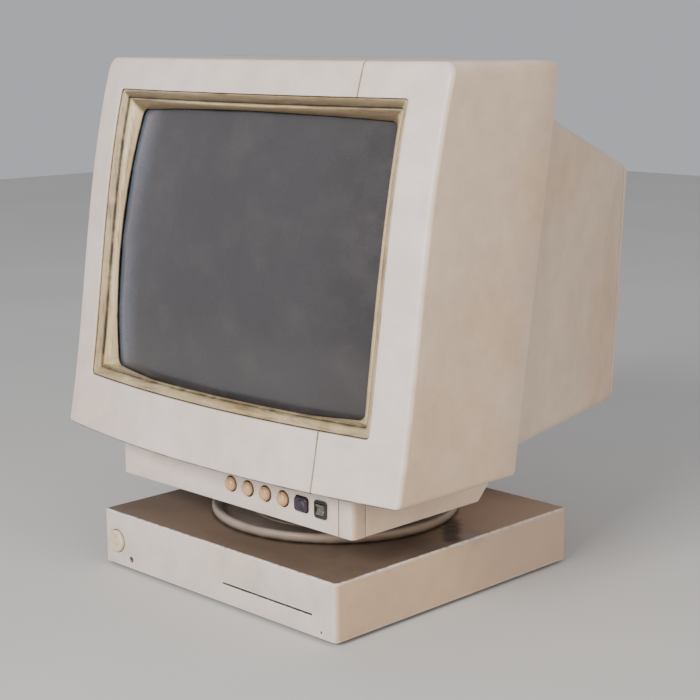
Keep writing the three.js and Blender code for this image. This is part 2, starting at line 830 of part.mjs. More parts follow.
// Steel band shrunk round the glass, with a lug at each corner.
function tubeBand() {
  const inside = touchGap;
  const outside = inside + bandThickness;
  const ring = (over, depth) => glassRing(
    tubeHalfWidth + over,
    tubeHalfHeight + over,
    9,
    () => depth,
  );
  const band = hoop([
    ring(outside, skirtDepth - 2),
    ring(outside, bandFront),
    ring(inside, bandFront),
    ring(inside, skirtDepth - 2),
  ]);
  const lugs = postSpots.map(([x, z]) => {
    const near = [x * 0.84, z * 0.84];
    const far = [x + 6 * Math.sign(x), z + 6 * Math.sign(z)];
    const low = [Math.min(near[0], far[0]), bandFront, Math.min(near[1], far[1])];
    const high = [Math.max(near[0], far[0]), bandFront + 2, Math.max(near[1], far[1])];
    return box(low, high);
  });
  const glassInside = loft([
    [new THREE.Vector3(0, 0, 0)],
    ring(inside, 1),
    ring(inside, skirtDepth),
    [new THREE.Vector3(0, skirtDepth + 1, 0)],
  ]);
  const holes = postSpots.map((spot) => {
    return rod('y', tubeScrewDiameter / 2 + touchGap, bandFront - 1, bandFront + 4, spot, 12);
  });
  return cut(join(band, ...lugs.map((lug) => cut(lug, glassInside))), ...holes);
}

function tubeScrew() {
  const radius = tubeScrewDiameter / 2 - 0.1;
  return turned('y', [
    [0, -12],
    [radius, -12],
    [radius, 2 + touchGap],
    [5, 2 + touchGap],
    [5, 5],
    [0, 5.5],
  ], 12);
}

add(tube, 'tube_band', tubeBand(), finishes.steel);
postSpots.forEach(([x, z], i) => {
  add(tube, `tube_screw_${i + 1}`, tubeScrew(), finishes.steel, x, bandFront, z);
});

// A bound loop of wire that lies round the funnel just behind the band.
function degaussCoil() {
  const radius = 4.5;
  const depth = skirtDepth + 12;
  const sides = 8;
  const rings = Array.from({ length: sides }, (_, i) => {
    const angle = (i / sides) * 2 * Math.PI;
    const over = 3 + radius * Math.cos(angle);
    return glassRing(
      tubeHalfWidth + over,
      tubeHalfHeight + over,
      7,
      () => depth - radius * Math.sin(angle),
    );
  });
  return hoop(rings);
}

add(tube, 'degauss_coil', degaussCoil(), finishes.copper);

// The funnel's half size at a distance back, for what fits round it.
function funnelHalfAt(depth, tubeHalf = tubeHalfWidth) {
  const along = (depth - skirtDepth) / (funnelEnd - skirtDepth);
  const stations = [...funnelStations, { along: 1, size: 0 }];
  const after = stations.findIndex((station) => station.along >= along);
  const [a, b] = [stations[after - 1], stations[after]];
  const size = THREE.MathUtils.mapLinear(along, a.along, b.along, a.size, b.size);
  return THREE.MathUtils.lerp(neckRadius, tubeHalf, size);
}

const yokeFront = funnelEnd - 45;
const yokeBack = funnelEnd + 18;
const yokeWaist = funnelEnd - 12;
const yokeRadius = funnelHalfAt(yokeFront) + 5;
const neckClearance = neckRadius + 1.5;

function yokeCoil() {
  const inside = (depth) => funnelHalfAt(depth) + 1.5;
  return turned('y', [
    [inside(yokeFront), yokeFront],
    [yokeRadius + 10, yokeFront],
    [yokeRadius + 10, yokeFront + 4],
    [yokeRadius, yokeFront + 5],
    [yokeRadius, yokeWaist - 6],
    [neckRadius + 24, yokeWaist + 4],
    [neckRadius + 24, yokeWaist + 8],
    [neckRadius + 8, yokeWaist + 9],
    [neckRadius + 8, yokeBack],
    [neckClearance, yokeBack],
    [neckClearance, funnelEnd],
    [inside(yokeWaist), yokeWaist],
    [inside(funnelEnd - 20), funnelEnd - 20],
    [inside(funnelEnd - 34), funnelEnd - 34],
    [inside(yokeFront), yokeFront],
  ], 24);
}

function yokeCore() {
  const inside = yokeRadius + touchGap;
  const front = yokeFront + 6;
  const back = yokeWaist - 8;
  return turned('y', [
    [inside, front],
    [inside + 8, front + 2],
    [inside + 8, back - 2],
    [inside, back],
    [inside, front],
  ], 24);
}

// Three thin magnet rings on a sleeve round the neck.
function purityRings() {
  const start = yokeBack + 5;
  const ringCount = 3;
  const profile = [[neckClearance, start]];
  for (let i = 0; i < ringCount; i++) {
    const front = start + i * 7;
    profile.push([neckRadius + 11, front], [neckRadius + 11, front + 4]);
    profile.push([neckRadius + 5, front + 4], [neckRadius + 5, front + 7]);
  }
  const end = start + ringCount * 7;
  profile.push([neckClearance, end], [neckClearance, start]);
  return turned('y', profile, 16);
}

add(tube, 'yoke_coil', yokeCoil(), finishes.copper);
add(tube, 'yoke_core', yokeCore(), finishes.ferrite);
add(tube, 'purity_rings', purityRings(), finishes.cream);

const socketBack = neckEnd + 8;
const tubeSocket = turned('y', [
  [0, neckEnd + touchGap],
  [neckRadius + 5, neckEnd + touchGap],
  [neckRadius + 5, socketBack],
  [0, socketBack],
], 24);
const neckBoard = box([-42, socketBack + touchGap, -36], [42, socketBack + 1.9, 40]);
add(tube, 'tube_socket', tubeSocket, finishes.cream);
add(tube, 'neck_board', neckBoard, finishes.board);

// ---------------------------------------------------------------- anode cap and lead

const anodeDepth = skirtDepth + 46;
const anodeTilt = Math.atan2(
  funnelHalfAt(anodeDepth - 10, tubeHalfHeight) - funnelHalfAt(anodeDepth + 10, tubeHalfHeight),
  20,
);

// A point over the cap's seat on the funnel's top, at a distance along the seat's normal.
function overAnode(distance) {
  const back = anodeDepth + distance * Math.sin(anodeTilt);
  const up = funnelHalfAt(anodeDepth, tubeHalfHeight) + distance * Math.cos(anodeTilt);
  return new THREE.Vector3(0, back, up);
}

const anodeCapHeight = 11;
const anodeCap = turned('z', [
  [0, 0],
  [13, 0],
  [13, 2],
  [7, 5],
  [5, anodeCapHeight],
  [0, anodeCapHeight],
], 16).rotateX(-anodeTilt);
add(tube, 'anode_cap', anodeCap, finishes.rubber, ...overAnode(2 * touchGap).toArray());

const flybackSpot = [48, 122];
const flybackHeight = 46;
const boardTop = chassisHeight + 1.5 + touchGap + boardThickness;
const flybackTop = boardTop + touchGap + flybackHeight;

// The lead runs over the funnel's shoulder, outside the yoke and down to the transformer.
function anodeLead() {
  const start = overAnode(anodeCapHeight + 4 * touchGap).applyMatrix4(tube.matrix);
  const side = yokeRadius + 26;
  const end = new THREE.Vector3(flybackSpot[0], flybackSpot[1], flybackTop + touchGap);
  const path = new THREE.CatmullRomCurve3([
    start,
    overAnode(anodeCapHeight + 8).applyMatrix4(tube.matrix),
    new THREE.Vector3(side * 0.45, start.y + 18, start.z + 6),
    new THREE.Vector3(side, start.y + 42, axisAt(start.y + 42) + 50),
    new THREE.Vector3(side, start.y + 70, axisAt(start.y + 70) + 6),
    new THREE.Vector3(end.x + 6, end.y, end.z + 26),
    new THREE.Vector3(end.x, end.y, end.z + 8),
    end,
  ]);
  const section = new THREE.Shape();
  section.absarc(0, 0, 2, 0, 2 * Math.PI);
  return new THREE.ExtrudeGeometry(section, {
    steps: 28,
    curveSegments: 4,
    extrudePath: path,
    bevelEnabled: false,
  });
}

add(head, 'anode_lead', anodeLead(), finishes.rubber);

// ---------------------------------------------------------------- chassis

const chassisHalf = chassisWidth / 2;

function chassisFrame() {
  const body = box(
    [-chassisHalf, chassisFront, chassisHeight],
    [chassisHalf, chassisBack, chassisHeight + 9],
  );
  const inside = box(
    [-chassisHalf + 1.5, chassisFront - 1, chassisHeight + 1.5],
    [chassisHalf - 1.5, chassisBack + 1, chassisHeight + 10],
  );
  const window = box(
    [-chassisHalf + 20, chassisFront + 20, chassisHeight - 1],
    [chassisHalf - 20, chassisBack - 20, chassisHeight + 2],
  );
  return cut(body, inside, window);
}

const boardLow = boardTop - boardThickness;
const mainBoard = box(
  [-chassisHalf + 1.5 + touchGap, chassisFront + 2, boardLow],
  [chassisHalf - 1.5 - touchGap, chassisBack - 2, boardTop],
);

const onBoard = boardTop + touchGap;

function flyback() {
  const core = box([-20, -16, 0], [20, 16, flybackHeight - 12]);
  const pot = rod('z', 14, flybackHeight - 13, flybackHeight);
  const knee = box([-24, -6, 6], [24, 6, 26]);
  return join(core, pot, knee);
}

function heatsink() {
  const plate = box([-2, -40, 0], [2, 40, 52]);
  const fins = Array.from({ length: 7 }, (_, i) => {
    const y = -39 + i * 12.6;
    return box([1, y, 4], [14, y + 2, 52]);
  });
  return join(plate, ...fins);
}

const powerTransformer = join(box([-22, -18, 6], [22, 18, 26]), box([-15, -14, 0], [15, 14, 31]));
add(head, 'chassis_frame', chassisFrame(), finishes.steel);
add(head, 'main_board', mainBoard, finishes.board);
add(head, 'flyback_transformer', flyback(), finishes.darkPlastic, ...flybackSpot, onBoard);
add(head, 'heatsink', heatsink(), finishes.aluminium, -76, 100, onBoard);
add(head, 'filter_capacitor', rod('z', 14, 0, 40), finishes.darkPlastic, -40, 150, onBoard);
add(head, 'power_transformer', powerTransformer, finishes.ferrite, -40, 12, onBoard);

// Mains inlet: a flanged body through the tail wall, with a hollow that three blades stand in.
function powerInlet() {
  const [width, height] = inletSize;
  const flange = roundedAlongY(width + 5, height + 4, 2, tailBack + touchGap, tailBack + 1.8);
  const body = roundedAlongY(width, height, 1.5, tailBack - 20, tailBack + 1);
  const hollow = roundedAlongY(width - 4, height - 4, 3, tailBack - 15, tailBack + 3);
  const blades = [
    [-7, 1.5],
    [0, -1.5],
    [7, 1.5],
  ].map(([x, z]) => box([x - 1, tailBack - 16, z - 2], [x + 1, tailBack - 4.5, z + 2]));
  return join(cut(join(flange, body), hollow), ...blades);
}

// Signal socket: a plate with a trapezium shell that stands out behind it.
function signalSocket() {
  const [width, height] = signalSize;
  const plate = roundedAlongY(width + 14, height + 4, 2, tailBack + touchGap, tailBack + 1.6);
  const body = roundedAlongY(width, height, 1.5, tailBack - 9, tailBack + 1);
  const half = width / 2 - 3.5;
  const shell = new THREE.Shape([
    new THREE.Vector2(-half, 4),
    new THREE.Vector2(-half + 1.6, -4),
    new THREE.Vector2(half - 1.6, -4),
    new THREE.Vector2(half, 4),
  ]);
  const stub = new THREE.ExtrudeGeometry(shell, { depth: 6, bevelEnabled: false });
  return join(plate, body, stub.rotateX(Math.PI / 2).translate(0, tailBack + 7, 0));
}

add(head, 'power_inlet', powerInlet(), finishes.darkPlastic, inletSpot[0], 0, inletSpot[1]);
add(head, 'signal_socket', signalSocket(), finishes.steel, signalSpot[0], 0, signalSpot[1]);

// ---------------------------------------------------------------- tilt and swivel stand

const axleRadius = axleDiameter / 2;
const lugOuter = earSpacing / 2 - lugGap;

// An ear or lug: a plate with a round end about the axle, which reaches to `foot`.
function cheek(start, end, radius, foot) {
  const round = rod('x', radius, start, end, [0, axleHeight]);
  const low = Math.min(foot, axleHeight);
  const high = Math.max(foot, axleHeight);
  return join(round, box([start, -radius, low], [end, radius, high]));
}

function swivelDish() {
  const radius = dishDiameter / 2;
  const rim = dishRimHeight;
  const inner = radius - dishRimWidth;
  const hubBottom = -baseWall - touchGap;
  const plate = turned('z', [
    [0, hubBottom],
    [hubDiameter / 2, hubBottom],
    [hubDiameter / 2, touchGap],
    [radius - 4, touchGap],
    [radius - 0.8, touchGap + 1.6],
    [radius, rim - 2.2],
    [radius - 1.4, rim],
    [inner + 1.4, rim],
    [inner, rim - 1.6],
    [inner - 2.5, touchGap + dishFloor],
    [0, touchGap + dishFloor],
  ], 44);
  const earStart = earSpacing / 2;
  const earEnd = earStart + earThickness;
  const ears = [
    cheek(earStart, earEnd, earRadius, 1.5),
    cheek(-earEnd, -earStart, earRadius, 1.5),
  ];
  const bore = rod('z', hubBore / 2 + touchGap, hubBottom - 1, 6);
  const axleHole = rod('x', axleRadius + touchGap, -earEnd - 1, earEnd + 1, [0, axleHeight]);
  return cut(join(plate, ...ears), bore, axleHole);
}

function tiltAxle() {
  const end = earSpacing / 2 + earThickness + 3;
  const pin = rod('x', axleRadius, -end, end, [0, axleHeight]);
  const cap = rod('x', axleRadius + 2, end - 2, end, [0, axleHeight]);
  return join(pin, cap);
}

// Plate under the lower housing's floor, with two lugs that hang on the axle.
function tiltBracket() {
  const plateTop = headGap - lowerDrop - touchGap;
  const plate = box([-46, -24, plateTop - 2.5], [46, 24, plateTop]);
  const lugs = [
    cheek(lugOuter - lugThickness, lugOuter, earRadius, plateTop - 1),
    cheek(-lugOuter, -lugOuter + lugThickness, earRadius, plateTop - 1),
  ];
  const axleHole = rod('x', axleRadius + runningGap, -lugOuter - 1, lugOuter + 1, [0, axleHeight]);
  return cut(join(plate, ...lugs), axleHole);
}

const retainerTop = -baseWall - 2 * touchGap;
const retainer = cut(
  rod('z', retainerDiameter / 2, retainerTop - retainerThickness, retainerTop, [0, 0], 24),
  rod('z', hubBore / 2 + touchGap, retainerTop - retainerThickness - 1, retainerTop + 1),
);
const boltHeadTop = touchGap + dishFloor + touchGap;
const boltEnd = retainerTop - retainerThickness;
const swivelBolt = join(
  rod('z', hubBore / 2, boltEnd - 7, boltHeadTop + 1),
  rod('z', 7, boltHeadTop, boltHeadTop + 4, [0, 0], 6),
  rod('z', 7, boltEnd - 5.5, boltEnd - touchGap, [0, 0], 6),
);

add(stand, 'swivel_dish', swivelDish(), finishes.casing);
add(stand, 'tilt_axle', tiltAxle(), finishes.steel);
add(stand, 'swivel_retainer', retainer, finishes.steel);
add(stand, 'swivel_bolt', swivelBolt, finishes.steel);
add(head, 'tilt_bracket', tiltBracket(), finishes.steel, 0, 0, -headGap);

// ---------------------------------------------------------------- base unit

const baseButtonSpot = [-baseWidth / 2 + baseButtonInset, footHeight + baseButtonHeight];
const jackSpot = [-baseWidth / 2 + jackInset, footHeight + jackHeight];
const pinholeSpot = [baseWidth / 2 - pinholeInset, footHeight + pinholeHeight];
const baseFront = -baseDepth / 2;
const powerSocketSpot = [70, footHeight + 15];
const powerSocketHole = 9;

function baseRing(inset, height) {
  const radius = Math.max(baseCornerRadius - inset, 1);
  const points = outline(baseWidth / 2 - inset, baseDepth / 2 - inset, radius, 0, [2, 2]);
  return points.map((point) => new THREE.Vector3(point.x, point.y, height));
}

function baseCover() {
  const wall = baseWall;
  const edge = 1.5;
  const shell = loft([
    [new THREE.Vector3(0, 0, baseTop)],
    baseRing(edge, baseTop),
    baseRing(edge * 0.3, baseTop - edge * 0.3),
    baseRing(0, baseTop - edge),
    baseRing(0, footHeight),
    baseRing(wall, footHeight),
    baseRing(wall, baseTop - wall),
    [new THREE.Vector3(0, 0, baseTop - wall)],
  ]);
  const front = baseFront - 1;
  const back = baseFront + wall + 1;
  const slotEnd = baseWidth / 2 - slotInset;
  const slotMiddle = footHeight + slotAboveEdge;
  const slot = box(
    [slotEnd - slotLength, front, slotMiddle - slotHeight / 2],
    [slotEnd, back, slotMiddle + slotHeight / 2],
  );
  const rearVents = Array.from({ length: 9 }, (_, i) => {
    const x = -100 + i * 8;
    return box([x, -back, footHeight + 14], [x + 3, -front, footHeight + 30]);
  });
  return cut(
    shell,
    rod('z', hubDiameter / 2 + runningGap, baseTop - wall - 1, baseTop + 1, [0, 0], 28),
    rod('y', baseButtonDiameter / 2 + runningGap, front, back, baseButtonSpot, 24),
    rod('y', jackHoleDiameter / 2, front, back, jackSpot, 16),
    rod('y', pinholeDiameter / 2, front, back, pinholeSpot, 12),
    rod('y', powerSocketHole / 2 + touchGap, -back, -front, powerSocketSpot, 20),
    slot,
    ...rearVents,
  );
}

function basePlate() {
  const clear = baseWall + touchGap;
  const top = footHeight + basePlateThickness;
  const plate = loft([
    [new THREE.Vector3(0, 0, top)],
    baseRing(clear, top),
    baseRing(clear, footHeight),
    [new THREE.Vector3(0, 0, footHeight)],
  ]);
  const pillars = [-1, 1].flatMap((x) => [-1, 1].map((y) => {
    const middle = [(x * baseBoardWidth) / 2.4, baseBoardSpot[1] + (y * baseBoardDepth) / 2.6];
    return rod('z', 3, top - 1, top + 5 - touchGap, middle, 10);
  }));
  return join(plate, ...pillars);
}

const baseBoardSpot = [0, 45];
const baseBoardLow = footHeight + basePlateThickness + 5;

const baseBoard = box(
  [-baseBoardWidth / 2, baseBoardSpot[1] - baseBoardDepth / 2, baseBoardLow],
  [baseBoardWidth / 2, baseBoardSpot[1] + baseBoardDepth / 2, baseBoardLow + boardThickness],
);

const baseSwitchFront = baseWall + 12;

// The base unit's round push button with its stem, about its own axis.
function baseButton() {
  const radius = baseButtonDiameter / 2;
  const stemEnd = baseSwitchFront - touchGap - baseButtonTravel;
  return turned('y', [
    [0, -baseButtonProud],
    [radius * 0.7, -baseButtonProud + 0.25],
    [radius * 0.94, -baseButtonProud + 0.9],
    [radius, -baseButtonProud + 1.7],
    [radius, baseWall + 3],
    [3, baseWall + 3],
    [3, stemEnd],
    [0, stemEnd],
  ], 24);
}

const plateTop = footHeight + basePlateThickness + touchGap;
const baseSwitch = box(
  [-6, baseSwitchFront, plateTop - baseButtonSpot[1]],
  [6, baseSwitchFront + 12, 7],
);

function jackSocket() {
  const body = box([-5, baseWall + touchGap, plateTop - jackSpot[1]], [5, baseWall + 14, 5]);
  return cut(body, rod('y', 1.8, baseWall - 1, baseWall + 11, [0, 0], 12));
}

function basePowerSocket() {
  const back = baseDepth / 2;
  const collar = rod('y', powerSocketHole / 2, back - 12, back - 0.4, [0, 0], 20);
  const body = box([-6, back - 16, plateTop - powerSocketSpot[1]], [6, back - baseWall - touchGap, 6]);
  const bore = rod('y', 2.9, back - 10, back + 1, [0, 0], 16);
  const pin = rod('y', 0.9, back - 11, back - 2, [0, 0], 8);
  return join(cut(join(collar, body), bore), pin);
}

function foot() {
  const radius = footDiameter / 2;
  return turned('z', [
    [0, 0],
    [radius - 0.8, 0],
    [radius, 0.8],
    [radius, footHeight - touchGap],
    [0, footHeight - touchGap],
  ], 16);
}

add(base, 'base_cover', baseCover(), finishes.baseCasing);
add(base, 'base_plate', basePlate(), finishes.steel);
add(base, 'base_board', baseBoard, finishes.board);
add(base, 'base_button', baseButton(), finishes.knob, baseButtonSpot[0], baseFront, baseButtonSpot[1]);
add(base, 'base_switch', baseSwitch, finishes.darkPlastic, baseButtonSpot[0], baseFront, baseButtonSpot[1]);
add(base, 'jack_socket', jackSocket(), finishes.darkPlastic, jackSpot[0], baseFront, jackSpot[1]);
add(base, 'base_power_socket', basePowerSocket(), finishes.darkPlastic, powerSocketSpot[0], 0, powerSocketSpot[1]);
[-1, 1].forEach((x) => [-1, 1].forEach((y) => {
  const spot = [x * (baseWidth / 2 - footInset), y * (baseDepth / 2 - footInset)];
  const name = `foot_${y < 0 ? 'front' : 'rear'}_${x < 0 ? 'left' : 'right'}`;
  add(base, name, foot(), finishes.rubber, ...spot, 0);
}));

// ---------------------------------------------------------------- placing the whole

const bounds = new THREE.Box3().setFromObject(monitor, true);
onSwivelAxis.position.y = -(bounds.min.y + bounds.max.y) / 2;

export default monitor;
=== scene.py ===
"""Finished surfaces of a desktop tube monitor on its tilt-and-swivel stand and square base unit."""

import json
import math

import bmesh
import bpy
from bpy.props import FloatProperty, FloatVectorProperty, PointerProperty
from bpy.types import Operator, Panel, PropertyGroup
from mathutils import Matrix, Vector

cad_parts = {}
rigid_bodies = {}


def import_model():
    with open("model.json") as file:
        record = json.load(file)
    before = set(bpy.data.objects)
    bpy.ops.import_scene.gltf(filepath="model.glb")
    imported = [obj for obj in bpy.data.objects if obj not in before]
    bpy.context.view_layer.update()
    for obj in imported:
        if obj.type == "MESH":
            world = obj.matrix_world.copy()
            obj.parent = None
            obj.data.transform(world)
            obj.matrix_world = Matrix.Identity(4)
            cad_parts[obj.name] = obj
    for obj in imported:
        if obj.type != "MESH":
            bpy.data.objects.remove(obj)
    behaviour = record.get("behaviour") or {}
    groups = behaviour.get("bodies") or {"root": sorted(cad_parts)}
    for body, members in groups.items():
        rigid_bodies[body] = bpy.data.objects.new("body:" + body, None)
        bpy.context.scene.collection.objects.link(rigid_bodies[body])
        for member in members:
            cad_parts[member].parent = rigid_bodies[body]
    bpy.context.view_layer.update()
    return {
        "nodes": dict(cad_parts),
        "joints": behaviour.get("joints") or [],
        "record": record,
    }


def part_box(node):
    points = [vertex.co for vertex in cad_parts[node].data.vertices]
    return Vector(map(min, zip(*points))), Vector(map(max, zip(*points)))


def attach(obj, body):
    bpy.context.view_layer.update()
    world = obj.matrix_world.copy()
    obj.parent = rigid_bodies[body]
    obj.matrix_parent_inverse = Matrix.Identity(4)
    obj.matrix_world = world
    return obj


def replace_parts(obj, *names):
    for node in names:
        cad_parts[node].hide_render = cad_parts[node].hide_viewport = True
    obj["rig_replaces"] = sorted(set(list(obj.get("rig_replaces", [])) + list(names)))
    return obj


bl_info = {
    "name": "Tube Monitor",
    "version": (1, 0, 0),
    "blender": (4, 5, 0),
    "location": "View3D > Sidebar > Monitor",
    "description": "Builds the finished surfaces of a tube monitor over its frame",
    "category": "Object",
}

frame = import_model()
AXIS_Y = next(j["pos_m"][1] for j in frame["joints"] if j["name"] == "swivel")

MM = 0.001
FIT_GAP = 0.3 * MM  # between pieces that meet
WALL = 3 * MM  # of the head's large mouldings
THIN_WALL = 2.5 * MM  # of the control strip and the base case
OVERSHOOT = 1 * MM  # how far a cutting shape goes past the wall that it cuts
SAME_PLACE = 0.001 * MM
SHARP = math.radians(35)
STEPS_PAST_SEAM = 5


def shade_of(red, green, blue):
    """A linear colour from its eight-bit screen values."""
    linear = []
    for value in (red, green, blue):
        share = value / 255
        if share <= 0.04045:
            linear.append(share / 12.92)
        else:
            linear.append(((share + 0.055) / 1.055) ** 2.4)
    return tuple(linear)


# ---------------------------------------------------------------- what a user can change


def length(name, description, default):
    return FloatProperty(
        name=name, description=description, default=default, unit="LENGTH", subtype="DISTANCE"
    )


def angle(name, description, degrees):
    return FloatProperty(
        name=name, description=description, default=math.radians(degrees), subtype="ANGLE"
    )


def colour(name, description, red, green, blue):
    return FloatVectorProperty(
        name=name,
        description=description,
        default=shade_of(red, green, blue),
        subtype="COLOR",
        min=0,
        max=1,
    )


class HeadSizes(PropertyGroup):
    """Sizes of the head's moulded casing."""

    face_bow: length("Face bow", "How far the front bows forward from its sides", 0.018)
    face_edge: length("Face edge", "Radius along the front's outer edge", 0.003)
    top_corner: length("Top corner", "Radius of the front housing's top corners", 0.0095)
    foot_corner: length("Foot corner", "Radius of its bottom corners", 0.0045)
    lean_low: angle("Lean at foot", "Lean of the front's side edge at its foot", 12.5)
    lean_middle: angle("Lean at middle", "Lean of the front's side edge halfway up", 8.1)
    lean_high: angle("Lean at top", "Lean of the front's side edge at its top", 18.1)
    rear_lean: angle("Rear lean", "Lean of the front housing's rear edge", 8.4)
    seam_x: length("Seam", "Where the parting line runs across the front", 0.1068)
    seam_width: length("Seam width", "Width of the parting line's groove", 0.0015)
    opening_corner: length("Opening corner", "Corner radius of the screen opening", 0.003)
    step: length("Bevel step", "Width of the bevel's outer step", 0.006)


class TubeSizes(PropertyGroup):
    """Sizes of the picture tube."""

    width: length("Glass width", "Visible width, corner to corner", 0.261)
    height: length("Glass height", "Visible height, corner to corner, upright", 0.190)
    radius: length("Face radius", "Radius of the glass's face", 0.6)
    corner: length("Glass corner", "Corner radius of the visible glass", 0.005)
    side_barrel: length("Side barrel", "How far the visible sides bow outwards", 0.004)
    top_barrel: length("Top barrel", "How far the visible top bows outwards", 0.0012)
    foot_barrel: length("Foot barrel", "How far the visible bottom bows outwards", 0.0064)
    ahead: length("Ahead", "How far the glass's corners are ahead of the swivel axis", 0.083)
    lean: angle("Lean", "How far the tube leans back", 9.35)
    above_bevel: length("Above bevel", "From the opening's lower edge to the glass", 0.0075)
    hidden: length("Hidden rim", "How far the glass goes on behind the bevel", 0.012)


class CasingColours(PropertyGroup):
    """Colours of the moulded plastics and the glass."""

    clean: colour("Clean", "Casing plastic where light has not reached it", 224, 210, 203)
    aged: colour("Aged", "Casing plastic that has yellowed", 208, 181, 151)
    # Also the colour toward which painted shade is mixed, in corners, in creases and under downward faces.
    soil_and_shade: colour("Soil", "Dirt in the grain and in the corners", 74, 56, 40)
    bevel: colour("Bevel", "Bevel round the glass", 206, 185, 142)
    knob: colour("Knob", "Knobs", 218, 180, 138)
    base_button: colour("Base button", "The base unit's button", 216, 203, 180)
    button: colour("Button", "Mode button", 54, 41, 64)
    rocker: colour("Rocker", "Rocker", 84, 86, 76)
    glass: colour("Glass", "The tube's face when it is off", 65, 63, 65)


class StageSettings(PropertyGroup):
    """Light and floor."""

    key: FloatProperty(name="Key", description="Key light", default=74.0, unit="POWER")
    fill: FloatProperty(name="Fill", description="Fill light", default=19.5, unit="POWER")
    sky: FloatProperty(name="Sky", description="Strength of the surrounding light", default=0.5)
    floor: colour("Floor", "Colour of the floor", 205, 203, 199)


# ---------------------------------------------------------------- shader node helpers


class Tree:
    """Adds and links the nodes of one shader tree."""

    def __init__(self, tree):
        self.tree = tree

    def add(self, kind, inputs=None, **settings):
        node = self.tree.nodes.new(kind)
        for key, value in settings.items():
            setattr(node, key, value)
        for key, value in (inputs or {}).items():
            self.feed(node.inputs[key], value)
        return node

    def feed(self, socket, value):
        if isinstance(value, bpy.types.NodeSocket):
            self.tree.links.new(value, socket)
        elif socket.type == "RGBA" and len(value) == 3:
            socket.default_value = (*value, 1)
        else:
            socket.default_value = value

    def math(self, operation, *values):
        node = self.add("ShaderNodeMath", operation=operation)
        for socket, value in zip(node.inputs, values):
            self.feed(socket, value)
        return node.outputs[0]

    def times(self, first, second):
        return self.math("MULTIPLY", first, second)

    def mix(self, share, first, second, blend="MIX"):
        node = self.add("ShaderNodeMix", data_type="RGBA", blend_type=blend)
        self.feed(node.inputs[0], share)
        colour_inputs = [socket for socket in node.inputs if socket.type == "RGBA"]
        self.feed(colour_inputs[0], first)
        self.feed(colour_inputs[1], second)
        return next(socket for socket in node.outputs if socket.type == "RGBA")

    def spread(self, value, low, high, start=0.0, end=1.0):
        """The value's range from low to high, spread smoothly from start to end."""
        node = self.add(
            "ShaderNodeMapRange",
            {"Value": value, "From Min": low, "From Max": high, "To Min": start, "To Max": end},
            interpolation_type="SMOOTHSTEP",
        )
        return node.outputs["Result"]

    def noise(self, where, scale, detail=3.0, roughness=0.5):
        node = self.add(
            "ShaderNodeTexNoise",
            {"Vector": where, "Scale": scale, "Detail": detail, "Roughness": roughness},
        )
        return node.outputs["Fac"]

    def stretched(self, where, scale):
        return self.add("ShaderNodeMapping", {"Vector": where, "Scale": scale}).outputs["Vector"]

    def split(self, vector):
        return self.add("ShaderNodeSeparateXYZ", {"Vector": vector}).outputs

    def place(self):
        return self.add("ShaderNodeTexCoord").outputs["Object"]

    def facing(self):
        return self.add("ShaderNodeTexCoord").outputs["Normal"]


def node_group(name, inputs, outputs):
    """An empty shader node group, with the sockets of its input and output nodes."""
    group = bpy.data.node_groups.new(name, "ShaderNodeTree")
    for label, (kind, default) in inputs.items():
        socket = group.interface.new_socket(label, in_out="INPUT", socket_type=kind)
        socket.default_value = (*default, 1) if kind == "NodeSocketColor" else default
    for label, kind in outputs.items():
        group.interface.new_socket(label, in_out="OUTPUT", socket_type=kind)
    tree = Tree(group)
    source = tree.add("NodeGroupInput").outputs
    target = tree.add("NodeGroupOutput").inputs
    return group, tree, source, target


NUMBER = "NodeSocketFloat"
COLOUR = "NodeSocketColor"


def grain_group():
    """Fine moulded texture, as a height, with shallow waves under it."""
    group, tree, source, target = node_group(
        "Moulded grain",
        {"Scale": (NUMBER, 1300.0), "Waves": (NUMBER, 0.15)},
        {"Height": NUMBER},
    )
    place = tree.place()
    pits = tree.add(
        "ShaderNodeTexVoronoi", {"Vector": place, "Scale": source["Scale"]}, feature="SMOOTH_F1"
    )
    fine = tree.noise(place, source["Scale"], 2.0)
    waves = tree.noise(place, 26.0, 2.0)
    grain = tree.math("ADD", pits.outputs["Distance"], fine)
    height = tree.math("ADD", grain, tree.times(waves, source["Waves"]))
    tree.feed(target["Height"], height)
    return group


def ageing_group():
    """Plastic that has yellowed in clouds, more where it faces sideways, with faint soiling."""
    group, tree, source, target = node_group(
        "Ageing",
        {
            "Clean": (COLOUR, (0.7, 0.7, 0.7)),
            "Aged": (COLOUR, (0.6, 0.5, 0.3)),
            "Soil": (COLOUR, (0.1, 0.07, 0.05)),
            "Sides": (NUMBER, 0.7),
            "Clouds": (NUMBER, 0.35),
            "Soiling": (NUMBER, 0.1),
        },
        {"Colour": COLOUR},
    )
    place = tree.place()
    across = tree.split(tree.facing())["X"]
    sideways = tree.spread(tree.math("ABSOLUTE", across), 0.35, 0.95)
    large = tree.spread(tree.noise(place, 9.0, 5.0, 0.6), 0.35, 0.72)
    share = tree.math(
        "ADD",
        tree.times(sideways, source["Sides"]),
        tree.times(large, source["Clouds"]),
    )
    share = tree.math("MINIMUM", share, 1.0)
    tone = tree.mix(share, source["Clean"], source["Aged"])
    mottle = tree.spread(tree.noise(place, 46.0, 6.0, 0.65), 0.3, 0.7, 0.93, 1.05)
    tone = tree.mix(1.0, tone, mottle, "MULTIPLY")
    patches = tree.spread(tree.noise(place, 17.0, 7.0, 0.7), 0.52, 0.78)
    specks = tree.spread(tree.noise(place, 520.0, 2.0), 0.66, 0.8)
    soiled = tree.times(source["Soiling"], tree.math("ADD", patches, tree.times(specks, 0.8)))
    tree.feed(target["Colour"], tree.mix(soiled, tone, source["Soil"]))
    return group


